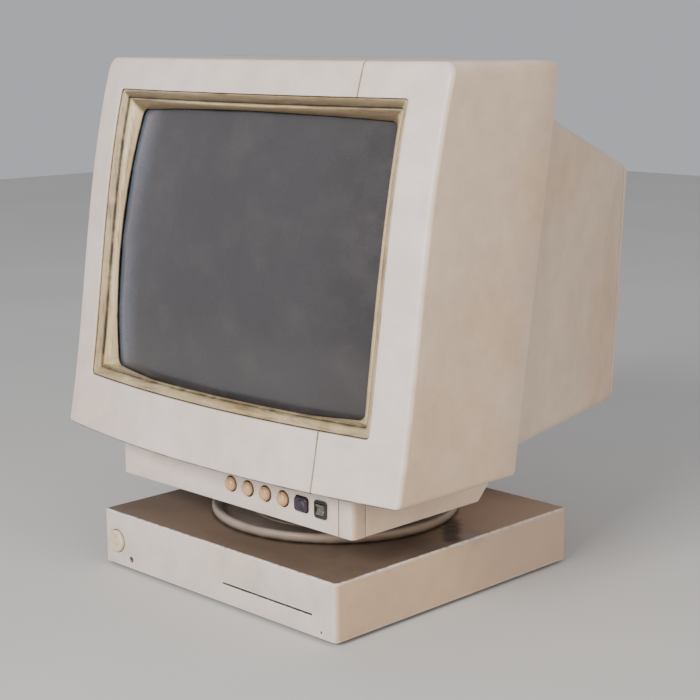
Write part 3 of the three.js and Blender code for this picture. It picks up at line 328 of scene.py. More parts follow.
def edge_wear_and_highlight_group():
    """A mask along outer edges, for scuffing and for painted highlight where light catches them, broken up
    where hands have scuffed them less.
    """
    group, tree, source, target = node_group(
        "Edge wear", {"Radius": (NUMBER, 0.0015), "Breaks": (NUMBER, 60.0)}, {"Mask": NUMBER}
    )
    rounded = tree.add("ShaderNodeBevel", {"Radius": source["Radius"]}, samples=4)
    plain = tree.add("ShaderNodeNewGeometry")
    match = tree.add(
        "ShaderNodeVectorMath",
        {0: rounded.outputs["Normal"], 1: plain.outputs["Normal"]},
        operation="DOT_PRODUCT",
    )
    turned_away = tree.spread(match.outputs["Value"], 0.998, 0.9)
    breaks = tree.spread(tree.noise(tree.place(), source["Breaks"], 5.0), 0.32, 0.6, 0.2, 1.0)
    # Marked edges: partly scuffing and partly painted highlight.
    marked = tree.add("ShaderNodeAttribute", attribute_name="worn").outputs["Fac"]
    share = tree.math("MAXIMUM", turned_away, marked)
    tree.feed(target["Mask"], tree.times(share, breaks))
    return group


def corner_shade_and_dirt_group():
    """A mask of painted shade where surfaces meet and close each other in, of grime where a cloth doesn't
    reach, and in marked grooves.
    """
    group, tree, source, target = node_group(
        "Corner dirt", {"Reach": (NUMBER, 0.004), "Amount": (NUMBER, 0.7)}, {"Mask": NUMBER}
    )
    # Painted shade: ambient occlusion darkens what surfaces close in.
    closed_in = tree.add("ShaderNodeAmbientOcclusion", {"Distance": source["Reach"]}, samples=6)
    hidden = tree.spread(closed_in.outputs["AO"], 0.85, 0.25)
    groove = tree.add("ShaderNodeAttribute", attribute_name="groove").outputs["Fac"]
    breaks = tree.spread(tree.noise(tree.place(), 90.0, 5.0), 0.3, 0.6, 0.6, 1.0)
    share = tree.times(tree.math("MAXIMUM", hidden, groove), breaks)
    tree.feed(target["Mask"], tree.times(share, source["Amount"]))
    return group


def dust_group():
    """A mask of settled dust on what faces up."""
    group, tree, source, target = node_group(
        "Settled dust", {"Amount": (NUMBER, 0.5)}, {"Mask": NUMBER}
    )
    topmost = tree.spread(tree.split(tree.facing())["Z"], 0.75, 0.99)
    clouds = tree.spread(tree.noise(tree.place(), 21.0, 7.0, 0.62), 0.25, 0.75, 0.45, 1.0)
    settled = tree.times(source["Amount"], tree.times(topmost, clouds))
    tree.feed(target["Mask"], tree.math("MINIMUM", settled, 1.0))
    return group


def spot_group():
    """A soft-edged round mask about a point, for stained patches and a painted pool of light."""
    group, tree, source, target = node_group(
        "Spot",
        {"Centre": ("NodeSocketVector", (0, 0, 0)), "Inner": (NUMBER, 0.0), "Outer": (NUMBER, 0.02)},
        {"Mask": NUMBER},
    )
    away = tree.add(
        "ShaderNodeVectorMath", {0: tree.place(), 1: source["Centre"]}, operation="DISTANCE"
    )
    unevenness = 6 * MM
    wobble = tree.times(tree.math("SUBTRACT", tree.noise(tree.place(), 70.0, 2.0), 0.5), unevenness)
    reach = tree.math("ADD", away.outputs["Value"], wobble)
    node = tree.add(
        "ShaderNodeMapRange",
        {"Value": reach, "From Min": source["Outer"], "From Max": source["Inner"]},
        interpolation_type="SMOOTHSTEP",
    )
    tree.feed(target["Mask"], node.outputs["Result"])
    return group


def streak_group():
    """Dark and light streaks that run along a moulding's sides, as a cloth leaves them."""
    group, tree, source, target = node_group(
        "Wiped streaks", {"Amount": (NUMBER, 0.5)}, {"Dark": NUMBER, "Light": NUMBER}
    )
    place = tree.place()
    facing = tree.split(tree.facing())
    sideways = tree.math("ABSOLUTE", facing["X"])
    upright = tree.math("ABSOLUTE", facing["Z"])
    share = tree.spread(tree.math("SUBTRACT", sideways, upright), -0.04, 0.04)
    level_lines, upright_lines = (
        tree.noise(tree.stretched(place, stretch), 420.0, 5.0, 0.6)
        for stretch in ((0.06, 1, 1), (1, 1, 0.06))
    )
    along_z = tree.times(upright_lines, share)
    along_x = tree.times(level_lines, tree.math("SUBTRACT", 1.0, share))
    streak = tree.math("ADD", along_z, along_x)
    dark = tree.spread(streak, 0.5, 0.66)
    light = tree.spread(streak, 0.46, 0.34)
    tree.feed(target["Dark"], tree.times(dark, source["Amount"]))
    tree.feed(target["Light"], tree.times(light, source["Amount"]))
    return group


EFFECTS = {}


def effect(tree, name, inputs):
    """Places a shared effect in a material, with its own values."""
    makers = {
        "Moulded grain": grain_group,
        "Ageing": ageing_group,
        "Edge wear": edge_wear_and_highlight_group,
        "Corner dirt": corner_shade_and_dirt_group,
        "Settled dust": dust_group,
        "Spot": spot_group,
        "Wiped streaks": streak_group,
    }
    if name not in EFFECTS:
        EFFECTS[name] = makers[name]()
    node = tree.add("ShaderNodeGroup", node_tree=EFFECTS[name])
    for key, value in inputs.items():
        tree.feed(node.inputs[key], value)
    return node.outputs


# ---------------------------------------------------------------- materials


def new_material(name):
    """A new material, its tree and its surface's sockets."""
    material = bpy.data.materials.new(name)
    material.use_nodes = True
    surface = material.node_tree.nodes["Principled BSDF"].inputs
    return material, Tree(material.node_tree), surface


def coat(tree, surface, tone, roughness, height, depth):
    """Gives a surface its colour, its roughness and a fine relief of some depth."""
    relief = tree.add("ShaderNodeBump", {"Height": height, "Distance": depth})
    tree.feed(surface["Base Color"], tone)
    tree.feed(surface["Roughness"], roughness)
    tree.feed(surface["Normal"], relief.outputs["Normal"])


MATERIALS = {}


def moulded_plastic(
    name,
    clean,
    aged,
    sides=0.7,
    clouds=0.35,
    soiling=0.1,
    dust=0.0,
    dust_tone=(0.16, 0.12, 0.09),
    dirt_and_shade=0.75,
    reach=4 * MM,
    wear_and_highlight=0.35,
    wear_and_highlight_radius=1.6 * MM,
    breaks=60.0,
    streaks=0.0,
    shaded=0.0,
    rough=0.46,
    grain=0.05 * MM,
    stains_and_light_pool=(),
):
    """Grained casing plastic: yellowed in clouds, darkened in its corners by grime and painted shade,
    lightened along its edges by scuffing and painted highlight.
    """
    colours = bpy.context.scene.monitor_colours
    material, tree, surface = new_material(name)
    ageing = {
        "Clean": clean,
        "Aged": aged,
        "Soil": colours.soil_and_shade,
        "Sides": sides,
        "Clouds": clouds,
        "Soiling": soiling,
    }
    tone = effect(tree, "Ageing", ageing)["Colour"]
    dusty = effect(tree, "Settled dust", {"Amount": dust})["Mask"]
    drift = tree.spread(tree.noise(tree.place(), 12.0, 6.0, 0.6), 0.3, 0.7)
    settled = tree.mix(drift, dust_tone, tuple(0.72 * share for share in dust_tone))
    tone = tree.mix(dusty, tone, settled)
    for centre, inner, outer, amount, spot_tone in stains_and_light_pool:
        spot = effect(tree, "Spot", {"Centre": centre, "Inner": inner, "Outer": outer})["Mask"]
        tone = tree.mix(tree.times(spot, amount), tone, spot_tone)
    # Edges lightened, partly as scuffing and partly as painted highlight.
    worn = effect(tree, "Edge wear", {"Radius": wear_and_highlight_radius, "Breaks": breaks})["Mask"]
    lighter = tree.mix(0.3, clean, (1.0, 0.98, 0.94))
    tone = tree.mix(tree.times(worn, wear_and_highlight), tone, lighter)
    if streaks:
        wiped = effect(tree, "Wiped streaks", {"Amount": streaks})
        tone = tree.mix(wiped["Dark"], tone, colours.soil_and_shade)
        tone = tree.mix(wiped["Light"], tone, lighter)
    # Painted shade on faces that turn downward, such as the bevel's band under the brow, mixed toward the
    # dark brown of the corners.
    if shaded:
        up = tree.split(tree.facing())["Z"]
        tone = tree.mix(tree.spread(up, 0.1, -0.4, 0.0, shaded), tone, colours.soil_and_shade)
    # Painted shade in corners and creases, with the grime there, darkened toward a deep brown.
    crevice_grime_and_shade = effect(tree, "Corner dirt", {"Reach": reach, "Amount": dirt_and_shade})["Mask"]
    tone = tree.mix(crevice_grime_and_shade, tone, tuple(0.2 * share for share in colours.soil_and_shade))
    patchy = tree.spread(tree.noise(tree.place(), 33.0, 5.0), 0.3, 0.7, rough - 0.06, rough + 0.08)
    dulled = tree.math("ADD", patchy, tree.times(dusty, 0.25))
    polished = tree.math("SUBTRACT", dulled, tree.times(worn, 0.08))
    coat(tree, surface, tone, polished, effect(tree, "Moulded grain", {})["Height"], grain)
    surface["IOR"].default_value = 1.52
    return material


def casing():
    colours = bpy.context.scene.monitor_colours
    return moulded_plastic("casing_plastic", colours.clean, colours.aged, dust=0.3, dirt_and_shade=0.95)


def stand_casing():
    return moulded_plastic(
        "stand_plastic", shade_of(160, 146, 134), shade_of(140, 120, 98), sides=0.3, clouds=0.7,
        soiling=0.4, dust=0.75, dust_tone=shade_of(96, 88, 84), reach=10 * MM, wear_and_highlight=0.7,
        wear_and_highlight_radius=3 * MM,
    )


def base_casing():
    """The base case's plastic: a painted pool of light on its rear corner, a dark curved patch and a pale
    grey patch on its top, and heavy dark dust on the top that stands partly for painted shade under the head.
    """
    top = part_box("base_cover")[1].z
    paler, dark_patch_tone, greyed = shade_of(186, 160, 138), shade_of(44, 38, 32), shade_of(140, 136, 142)
    stains_and_light_pool = [
        ((x * MM, AXIS_Y + y * MM, top), inner * MM, outer * MM, amount, tone)
        for x, y, inner, outer, amount, tone in (
            # Painted pool of light on the rear corner, outside the head's shadow.
            (115, 85, 20, 115, 0.85, paler),
            # A dark curved patch, then a pale grey patch beside it.
            (86, 36, 3, 9, 0.55, dark_patch_tone),
            (92, 29, 4, 10, 0.7, dark_patch_tone),
            (98, 21, 4, 10, 0.75, dark_patch_tone),
            (105, 13, 4, 10, 0.75, dark_patch_tone),
            (112, 5, 4, 10, 0.7, dark_patch_tone),
            (117, -1, 3, 9, 0.55, dark_patch_tone),
            (119, 18, 4, 12, 0.5, greyed),
        )
    ]
    # The heavy dark dust on the top is partly dust and partly painted shade from the head above it.
    return moulded_plastic(
        "base_plastic", shade_of(214, 202, 194), shade_of(204, 174, 142), sides=0.85, clouds=0.3,
        soiling=0.13, dust=2.4, dust_tone=shade_of(118, 99, 83), wear_and_highlight=0.95, wear_and_highlight_radius=2.6 * MM,
        breaks=230.0, stains_and_light_pool=stains_and_light_pool,
    )


def bevel_plastic():
    colours = bpy.context.scene.monitor_colours
    # The bevel gets painted shade on its downward faces, and painted shade that reaches far into its corners.
    return moulded_plastic(
        "bevel_plastic", colours.bevel, shade_of(176, 150, 104), sides=0.2, clouds=0.8,
        soiling=0.3, dirt_and_shade=0.95, reach=8 * MM, wear_and_highlight_radius=0.6 * MM, streaks=0.45, shaded=0.8,
        rough=0.4, grain=0.03 * MM,
    )


def gloss_plastic(name, tone, darker, rough=0.26, speckle=0.0, light_speck=(0.5, 0.5, 0.45)):
    """Smooth button plastic with fine scratches, clouded darker, with painted shade toward its rim where it
    meets the panel, and edges paled partly by scuffing and partly as painted highlight.
    """
    material, tree, surface = new_material(name)
    place = tree.place()
    clouds = tree.spread(tree.noise(place, 240.0, 4.0), 0.3, 0.7)
    tone_now = tree.mix(clouds, tone, darker)
    # Painted shade in the ring gap and corners, with grime.
    crevice_grime_and_shade = effect(tree, "Corner dirt", {"Reach": 0.003, "Amount": 0.95})["Mask"]
    tone_now = tree.mix(crevice_grime_and_shade, tone_now, bpy.context.scene.monitor_colours.soil_and_shade)
    # Edges paled, partly as scuffing and partly as painted highlight.
    worn = effect(tree, "Edge wear", {"Radius": 0.0008, "Breaks": 400.0})["Mask"]
    paler = tree.mix(0.45, tone, (0.95, 0.9, 0.82))
    tone_now = tree.mix(tree.times(worn, 0.5), tone_now, paler)
    if speckle:
        specks = tree.spread(tree.noise(place, 1100.0, 3.0, 0.7), 0.48, 0.6, 0.0, speckle)
        tone_now = tree.mix(specks, tone_now, light_speck)
    scratches = tree.noise(tree.stretched(place, (1, 1, 14)), 900.0, 5.0, 0.7)
    dulled = tree.spread(scratches, 0.35, 0.75, rough, rough + 0.22)
    coat(tree, surface, tone_now, dulled, scratches, 0.02 * MM)
    surface["Coat Weight"].default_value = 0.25
    surface["Coat Roughness"].default_value = 0.15
    return material


def knob_plastic():
    colours = bpy.context.scene.monitor_colours
    return gloss_plastic("knob_plastic", colours.knob, shade_of(204, 158, 112))


def base_button_plastic():
    colours = bpy.context.scene.monitor_colours
    return gloss_plastic("base_button_plastic", colours.base_button, shade_of(206, 184, 150), 0.35)


def button_plastic():
    colours = bpy.context.scene.monitor_colours
    return gloss_plastic("button_plastic", colours.button, shade_of(34, 27, 40), 0.22)


def rocker_plastic():
    colours = bpy.context.scene.monitor_colours
    return gloss_plastic(
        "rocker_plastic", colours.rocker, shade_of(48, 46, 40), 0.4, 0.6, shade_of(150, 150, 136)
    )


def dark_plastic():
    """Black moulded plastic with a fine grain and grey dust."""
    material, tree, surface = new_material("dark_plastic")
    place = tree.place()
    clouds = tree.spread(tree.noise(place, 60.0, 5.0), 0.3, 0.7)
    tone = tree.mix(clouds, (0.012, 0.012, 0.013), (0.03, 0.029, 0.028))
    dusty = effect(tree, "Settled dust", {"Amount": 0.5})["Mask"]
    tone = tree.mix(dusty, tone, (0.16, 0.15, 0.14))
    # Edges lightened, partly as scuffing and partly as painted highlight.
    worn = effect(tree, "Edge wear", {"Radius": 0.0007, "Breaks": 200.0})["Mask"]
    tone = tree.mix(tree.times(worn, 0.4), tone, (0.12, 0.12, 0.12))
    dulled = tree.spread(tree.noise(place, 300.0), 0.3, 0.7, 0.42, 0.62)
    grain = effect(tree, "Moulded grain", {"Scale": 1800.0})["Height"]
    coat(tree, surface, tone, dulled, grain, 0.04 * MM)
    return material


def tube_glass():
    """Grey-coated face glass, with a painted bluish reflection at its left, painted shade toward its right
    and a painted shadow along its rim under the bevel.
    """
    colours = bpy.context.scene.monitor_colours
    low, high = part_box("picture_tube")
    material, tree, surface = new_material("tube_glass")
    place = tree.place()
    across = tree.add(
        "ShaderNodeMapRange",
        {"Value": tree.split(place)["X"], "From Min": low.x, "From Max": high.x},
    ).outputs["Result"]
    soft = tree.math("SUBTRACT", tree.noise(place, 14.0, 4.0), 0.5)
    across = tree.math("ADD", across, tree.times(soft, 0.08))
    # Painted reflection, bluish at the left, and painted shade toward the right.
    left = tree.spread(across, 0.16, 0.02)
    right = tree.spread(across, 0.7, 1.05)
    tone = tree.mix(left, colours.glass, shade_of(94, 101, 116))
    tone = tree.mix(tree.times(right, 0.55), tone, shade_of(44, 38, 38))
    film = tree.spread(tree.noise(place, 26.0, 5.0, 0.6), 0.45, 0.8, 0.0, 0.06)
    tone = tree.mix(film, tone, shade_of(150, 142, 134))
    # Painted shadow along the rim, where the bevel overhangs the glass.
    rim = effect(tree, "Corner dirt", {"Reach": 0.01, "Amount": 0.85})["Mask"]
    tone = tree.mix(rim, tone, shade_of(26, 22, 20))
    smears = tree.spread(tree.noise(place, 42.0, 6.0, 0.65), 0.3, 0.75, 0.2, 0.36)
    coat(tree, surface, tone, smears, tree.noise(place, 900.0, 2.0), 0.006 * MM)
    surface["IOR"].default_value = 1.5
    surface["Coat Weight"].default_value = 0.35
    surface["Coat Roughness"].default_value = 0.1
    return material


def graphite():
    """Painted graphite on the funnel, brushed on in rings."""
    material, tree, surface = new_material("graphite_coat")
    place = tree.place()
    strokes = tree.noise(tree.stretched(place, (1, 6, 1)), 60.0, 6.0, 0.7)
    tone = tree.mix(tree.spread(strokes, 0.3, 0.7), (0.018, 0.018, 0.02), (0.05, 0.05, 0.052))
    coat(tree, surface, tone, tree.spread(strokes, 0.3, 0.7, 0.5, 0.8), strokes, 0.1 * MM)
    return material


def metal(name, bright, dull, rough=0.35):
    """Plain metal with drawn or rolled streaks, dulled in patches and rusty in its corners."""
    material, tree, surface = new_material(name)
    place = tree.place()
    streaks = tree.noise(tree.stretched(place, (1, 1, 30)), 160.0, 5.0, 0.65)
    patches = tree.spread(tree.noise(place, 45.0, 6.0, 0.65), 0.35, 0.75)
    tone = tree.mix(patches, bright, dull)
    # Rust in the corners.
    crevice_grime_and_shade = effect(tree, "Corner dirt", {"Reach": 0.003, "Amount": 0.5})["Mask"]
    tone = tree.mix(crevice_grime_and_shade, tone, shade_of(70, 54, 42))
    # Edges lightened, partly as scuffing and partly as painted highlight.
    worn = effect(tree, "Edge wear", {"Radius": 0.0006, "Breaks": 150.0})["Mask"]
    tone = tree.mix(tree.times(worn, 0.5), tone, (0.8, 0.8, 0.8))
    dulled = tree.spread(streaks, 0.3, 0.7, rough - 0.08, rough + 0.2)
    coat(tree, surface, tone, dulled, streaks, 0.02 * MM)
    surface["Metallic"].default_value = 1.0
    return material


def steel():
    return metal("zinc_steel", (0.46, 0.46, 0.47), (0.3, 0.3, 0.29))


def aluminium():
    return metal("aluminium", (0.62, 0.63, 0.64), (0.44, 0.44, 0.45), 0.4)


def circuit_board():
    """Green lacquer over copper tracks, with solder points in rows."""
    material, tree, surface = new_material("circuit_board")
    place = tree.place()
    cells = tree.add(
        "ShaderNodeTexVoronoi", {"Vector": place, "Scale": 120.0}, distance="MANHATTAN"
    )
    lanes = tree.math("FRACT", tree.times(cells.outputs["Distance"], 3.0))
    tracks = tree.spread(lanes, 0.4, 0.55)
    tone = tree.mix(tracks, (0.02, 0.10, 0.045), (0.05, 0.20, 0.075))
    points = tree.add("ShaderNodeTexVoronoi", {"Vector": place, "Scale": 210.0, "Randomness": 0.35})
    solder = tree.spread(points.outputs["Distance"], 0.24, 0.16)
    tone = tree.mix(solder, tone, (0.55, 0.54, 0.5))
    dusty = effect(tree, "Settled dust", {"Amount": 0.4})["Mask"]
    tone = tree.mix(dusty, tone, (0.2, 0.18, 0.15))
    dulled = tree.spread(tree.noise(place, 200.0), 0.3, 0.7, 0.28, 0.5)
    coat(tree, surface, tone, dulled, tree.math("ADD", tracks, solder), 0.1 * MM)
    return material


def copper_windings():
    """Varnished copper wire, laid side by side."""
    material, tree, surface = new_material("copper_windings")
    place = tree.place()
    wires = tree.add(
        "ShaderNodeTexWave",
        {"Vector": place, "Scale": 220.0, "Distortion": 1.2, "Detail": 2.0, "Detail Scale": 0.3},
        wave_type="RINGS",
        rings_direction="Y",
    ).outputs["Fac"]
    clouds = tree.spread(tree.noise(place, 50.0, 5.0), 0.3, 0.7)
    tone = tree.mix(clouds, (0.42, 0.14, 0.05), (0.26, 0.075, 0.025))
    gaps = tree.times(tree.math("SUBTRACT", 1.0, wires), 0.7)
    tone = tree.mix(gaps, tone, (0.03, 0.012, 0.006))
    coat(tree, surface, tone, tree.spread(wires, 0.2, 0.8, 0.5, 0.3), wires, 0.3 * MM)
    surface["Metallic"].default_value = 0.7
    return material


def ferrite():
    """Pressed ferrite, with pores and chipped edges."""
    material, tree, surface = new_material("ferrite")
    place = tree.place()
    pores = tree.noise(place, 700.0, 4.0, 0.7)
    tone = tree.mix(tree.spread(pores, 0.35, 0.7), (0.022, 0.021, 0.02), (0.06, 0.057, 0.054))
    worn = effect(tree, "Edge wear", {"Radius": 0.0012, "Breaks": 120.0})["Mask"]
    tone = tree.mix(tree.times(worn, 0.5), tone, (0.13, 0.12, 0.11))
    coat(tree, surface, tone, tree.spread(pores, 0.3, 0.7, 0.6, 0.85), pores, 0.1 * MM)
    return material


def rubber():
    """Black rubber, greyed where it has bloomed and where dust has settled."""
    material, tree, surface = new_material("rubber")
    place = tree.place()
    bloom = tree.spread(tree.noise(place, 90.0, 6.0, 0.65), 0.4, 0.75)
    tone = tree.mix(bloom, (0.012, 0.012, 0.012), (0.04, 0.04, 0.04))
    dusty = effect(tree, "Settled dust", {"Amount": 0.4})["Mask"]
    tone = tree.mix(dusty, tone, (0.12, 0.11, 0.1))
    pits = tree.noise(place, 1500.0, 2.0)
    coat(tree, surface, tone, tree.spread(bloom, 0.0, 1.0, 0.7, 0.9), pits, 0.05 * MM)
    return material


def cream_plastic():
    return moulded_plastic(
        "cream_plastic", shade_of(214, 206, 184), shade_of(196, 178, 140), sides=0.2, soiling=0.15
    )


def material_for(slot):
    """The finish of one of the record's material slots, made the first time it is asked for."""
    makers = {
        "casing": casing,
        "stand": stand_casing,
        "base_casing": base_casing,
        "bevel": bevel_plastic,
        "knob": knob_plastic,
        "base_button": base_button_plastic,
        "button": button_plastic,
        "rocker": rocker_plastic,
        "dark_plastic": dark_plastic,
        "glass": tube_glass,
        "graphite": graphite,
        "steel": steel,
        "board": circuit_board,
        "copper": copper_windings,
        "ferrite": ferrite,
        "aluminium": aluminium,
        "rubber": rubber,
        "cream": cream_plastic,
    }
    if slot not in MATERIALS:
        MATERIALS[slot] = makers[slot]()
    return MATERIALS[slot]


# ---------------------------------------------------------------- mesh helpers


def mesh_of(vertices, faces, name="part"):
    mesh = bpy.data.meshes.new(name)
    mesh.from_pydata([tuple(vertex) for vertex in vertices], [], faces)
    solid = bmesh.new()
    solid.from_mesh(mesh)
    bmesh.ops.recalc_face_normals(solid, faces=solid.faces)
    solid.to_mesh(mesh)
    solid.free()
    return mesh


def middle_of(node):
    """The middle of a CAD node's box."""
    return [(low + high) / 2 for low, high in zip(*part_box(node))]


def skin(rings, hoop=False):
    """A closed mesh through rings of points, capped at its ends or joined up as a hoop."""
    count = len(rings[0])
    total = len(rings)
    faces = []
    for row in range(total if hoop else total - 1):
        here = row * count
        there = ((row + 1) % total) * count
        for column in range(count):
            after = (column + 1) % count
            faces.append((here + column, here + after, there + after, there + column))
    if not hoop:
        faces.append(tuple(range(count)))
        faces.append(tuple(range((total - 1) * count, total * count)))
    return mesh_of([point for ring in rings for point in ring], faces)


def circle(radius, steps):
    turns = [2 * math.pi * step / steps for step in range(steps)]
    return [(radius * math.cos(turn), radius * math.sin(turn)) for turn in turns]


def turned(axis, profile, middle, steps=64):
    """A turned solid: (radius, distance) pairs along an axis through a point."""
    rings = []
    for radius, distance in profile:
        ring = []
        for a, b in circle(radius, steps):
            offset = {"x": (distance, a, b), "y": (a, distance, b), "z": (a, b, distance)}[axis]
            ring.append(Vector(middle) + Vector(offset))
        rings.append(ring)
    return skin(rings)


def rod(axis, radius, start, end, middle, steps=48):
    return turned(axis, [(radius, start), (radius, end)], middle, steps)


def block(low, high):
    """A box between two corners."""
    across, along, up = zip(low, high)
    corners = [Vector((x, y, z)) for x in across for y in along for z in up]
    faces = [(0, 1, 3, 2), (4, 6, 7, 5), (0, 4, 5, 1), (2, 3, 7, 6), (0, 2, 6, 4), (1, 5, 7, 3)]
    return mesh_of(corners, faces)


def steps_along(start, end, count, seam=None, seam_half=0.0):
    """Places between two ends, without them; three of them stand close together at a seam."""
    if seam is None:
        return [start + (end - start) * step / count for step in range(1, count)]
    toward = 1 if end > start else -1
    near, far = seam - toward * seam_half, seam + toward * seam_half
    first = count - STEPS_PAST_SEAM if toward > 0 else STEPS_PAST_SEAM
    second = count - first
    places = [start + (near - start) * step / first for step in range(1, first + 1)]
    places.append(seam)
    places += [far + (end - far) * step / second for step in range(second)]
    return places


def outline(
    half_width, half_height, radius, middle=0.0, corner=8, sides=(26, 18), seam=None, seam_half=0.0,
    foot_radius=None,
):
    """Points round a rectangle with rounded corners, anticlockwise from its right side's top."""
    points = []
    radii = [radius, radius, foot_radius or radius, foot_radius or radius]
    centres = [
        ((half_width - size) * side, (half_height - size) * upward)
        for size, side, upward in zip(radii, (1, -1, -1, 1), (1, 1, -1, -1))
    ]
    for quarter, (size, (x, z)) in enumerate(zip(radii, centres)):
        for step in range(corner + 1):
            turn = (quarter + step / corner) * math.pi / 2
            points.append((x + size * math.cos(turn), z + size * math.sin(turn)))
        last_x, last_z = points[-1]
        next_x, next_z = centres[(quarter + 1) % 4]
        if quarter % 2 == 0:
            for place in steps_along(last_x, next_x, sides[0], seam, seam_half):
                points.append((place, last_z))
        else:
            for place in steps_along(last_z, next_z, sides[1]):
                points.append((last_x, place))
    return [(x, z + middle) for x, z in points]


def prism(points, start, end):
    """A solid with a side profile of (y, z) points, along X."""
    rings = [[Vector((x, y, z)) for y, z in points] for x in (start, end)]
    return skin(rings)


def slab(width, height, radius, start, end, middle, corner=6):
    """A rounded rectangle across X and Z, from one Y to another."""
    points = outline(width / 2, height / 2, radius, 0.0, corner, (2, 2))
    rings = [[Vector((middle[0] + x, y, middle[2] + z)) for x, z in points] for y in (start, end)]
    return skin(rings)


def joined(meshes):
    """Several meshes in one, without joining their solids."""
    solid = bmesh.new()
    for mesh in meshes:
        solid.from_mesh(mesh)
    mesh = bpy.data.meshes.new("joined")
    solid.to_mesh(mesh)
    solid.free()
    return mesh


def modified(mesh, *settings):
    """The mesh after modifiers, each given as its kind and its values."""
    worker = bpy.data.objects.new("worker", mesh)
    bpy.context.scene.collection.objects.link(worker)
    for kind, values in settings:
        modifier = worker.modifiers.new(kind, kind)
        for key, value in values.items():
            setattr(modifier, key, value)
    graph = bpy.context.evaluated_depsgraph_get()
    made = bpy.data.meshes.new_from_object(worker.evaluated_get(graph))
    bpy.data.objects.remove(worker)
    return made


def combined(mesh, others, operation="DIFFERENCE"):
    """The mesh with the others cut from it, or united with it."""
    tool = bpy.data.objects.new("tool", joined(others))
    bpy.context.scene.collection.objects.link(tool)
    made = modified(mesh, ("BOOLEAN", {"operation": operation, "object": tool, "solver": "EXACT"}))
    bpy.data.objects.remove(tool)
    if len(made.polygons) == 0:
        raise RuntimeError("a cut left nothing of the piece")
    return made


def eased(mesh, width, segments=2, limit=math.radians(40)):
    """The mesh with its sharp edges rounded over."""
    values = {
        "width": width,
        "segments": segments,
        "limit_method": "ANGLE",
        "angle_limit": limit,
        "use_clamp_overlap": True,
    }
    return modified(mesh, ("BEVEL", values))


def mark(mesh, name, amount_at):
    """Marks vertices with an amount: grime and painted shade in grooves, scuffing and painted highlight along
    edges.
    """
    attribute = mesh.attributes.new(name, "FLOAT", "POINT")
    amounts = [amount_at(vertex.co) for vertex in mesh.vertices]
    attribute.data.foreach_set("value", amounts)


def finished(name, mesh, body, slot, *nodes, material=None):
    """Puts a finished piece in the scene, in place of its CAD nodes."""
    mesh.name = name
    mesh.materials.clear()
    mesh.materials.append(material or material_for(slot))
    for polygon in mesh.polygons:
        polygon.use_smooth = True
    mesh.set_sharp_from_angle(angle=SHARP)
    piece = bpy.data.objects.new(name, mesh)
    bpy.context.scene.collection.objects.link(piece)
    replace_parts(piece, *nodes)
    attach(piece, body)
    return piece


# ---------------------------------------------------------------- the head's shape


class HeadShape:
    """The head's curved faces, in the frame's coordinates."""

    def __init__(self):
        sizes = bpy.context.scene.monitor_head
        low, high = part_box("front_housing")
        self.sizes = sizes
        self.half_width = high.x
        self.foot = low.z
        self.height = high.z - low.z
        self.middle = (low.z + high.z) / 2
        self.rear_foot = high.y - self.height * math.tan(sizes.rear_lean)
        self.face_foot = low.y + sizes.face_bow - self.lean_at(sizes.face_edge)
        low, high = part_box("screen_surround")
        self.opening_half_width = high.x + FIT_GAP
        self.opening_half_height = (high.z - low.z) / 2 + FIT_GAP
        self.opening_middle = (low.z + high.z) / 2

    def lean_at(self, height):
        """How far back the face's side edge is at a height, over its foot."""
        angles = (self.sizes.lean_low, self.sizes.lean_middle, self.sizes.lean_high)
        low, middle, high = (math.tan(angle) for angle in angles)
        share = height / self.height
        linear = -3 * low + 4 * middle - high
        square = 2 * low - 4 * middle + 2 * high
        return self.height * (low * share + linear * share**2 / 2 + square * share**3 / 3)

    def face(self, x, z):
        """The front's surface, bowed across and leaning back."""
        bow = self.sizes.face_bow * (1 - (x / self.half_width) ** 2)
        return self.face_foot + self.lean_at(z - self.foot) - bow

    def rear(self, x, z):
        """The plane of the front housing's rear edge, the same all the way across."""
        return self.rear_foot + (z - self.foot) * math.tan(self.sizes.rear_lean)

    def outer(self, inset):
        """The front housing's outline, moved inwards."""
        tightest = 1.5 * MM
        return outline(
            self.half_width - inset, self.height / 2 - inset,
            max(self.sizes.top_corner - inset, tightest), self.middle,
            foot_radius=max(self.sizes.foot_corner - inset, tightest),
            seam=self.sizes.seam_x, seam_half=self.sizes.seam_width / 2,
        )

    def opening(self, inset):
        """The screen opening's outline, moved inwards."""
        return outline(
            self.opening_half_width - inset, self.opening_half_height - inset,
            self.sizes.opening_corner - inset / 4, self.opening_middle,
            seam=self.sizes.seam_x, seam_half=self.sizes.seam_width / 2,
        )


def level(x, z):
    """A flat surface, for rings that stand at a plain distance."""
    return 0.0


def ring_at(points, surface, behind=0.0):
    """Points across X and Z, placed behind a surface."""
    return [Vector((x, surface(x, z) + behind, z)) for x, z in points]


def between(first, second, share):
    """An outline at a share of the way from one outline to another."""
    return [(a + (c - a) * share, b + (d - b) * share) for (a, b), (c, d) in zip(first, second)]


def quarter_round(radius, degrees):
    """How far in and how far back a rounded edge is, at turns from its face to its side."""
    turns = [math.radians(turn) for turn in degrees]
    return [(radius * (1 - math.sin(turn)), radius * (1 - math.cos(turn))) for turn in turns]


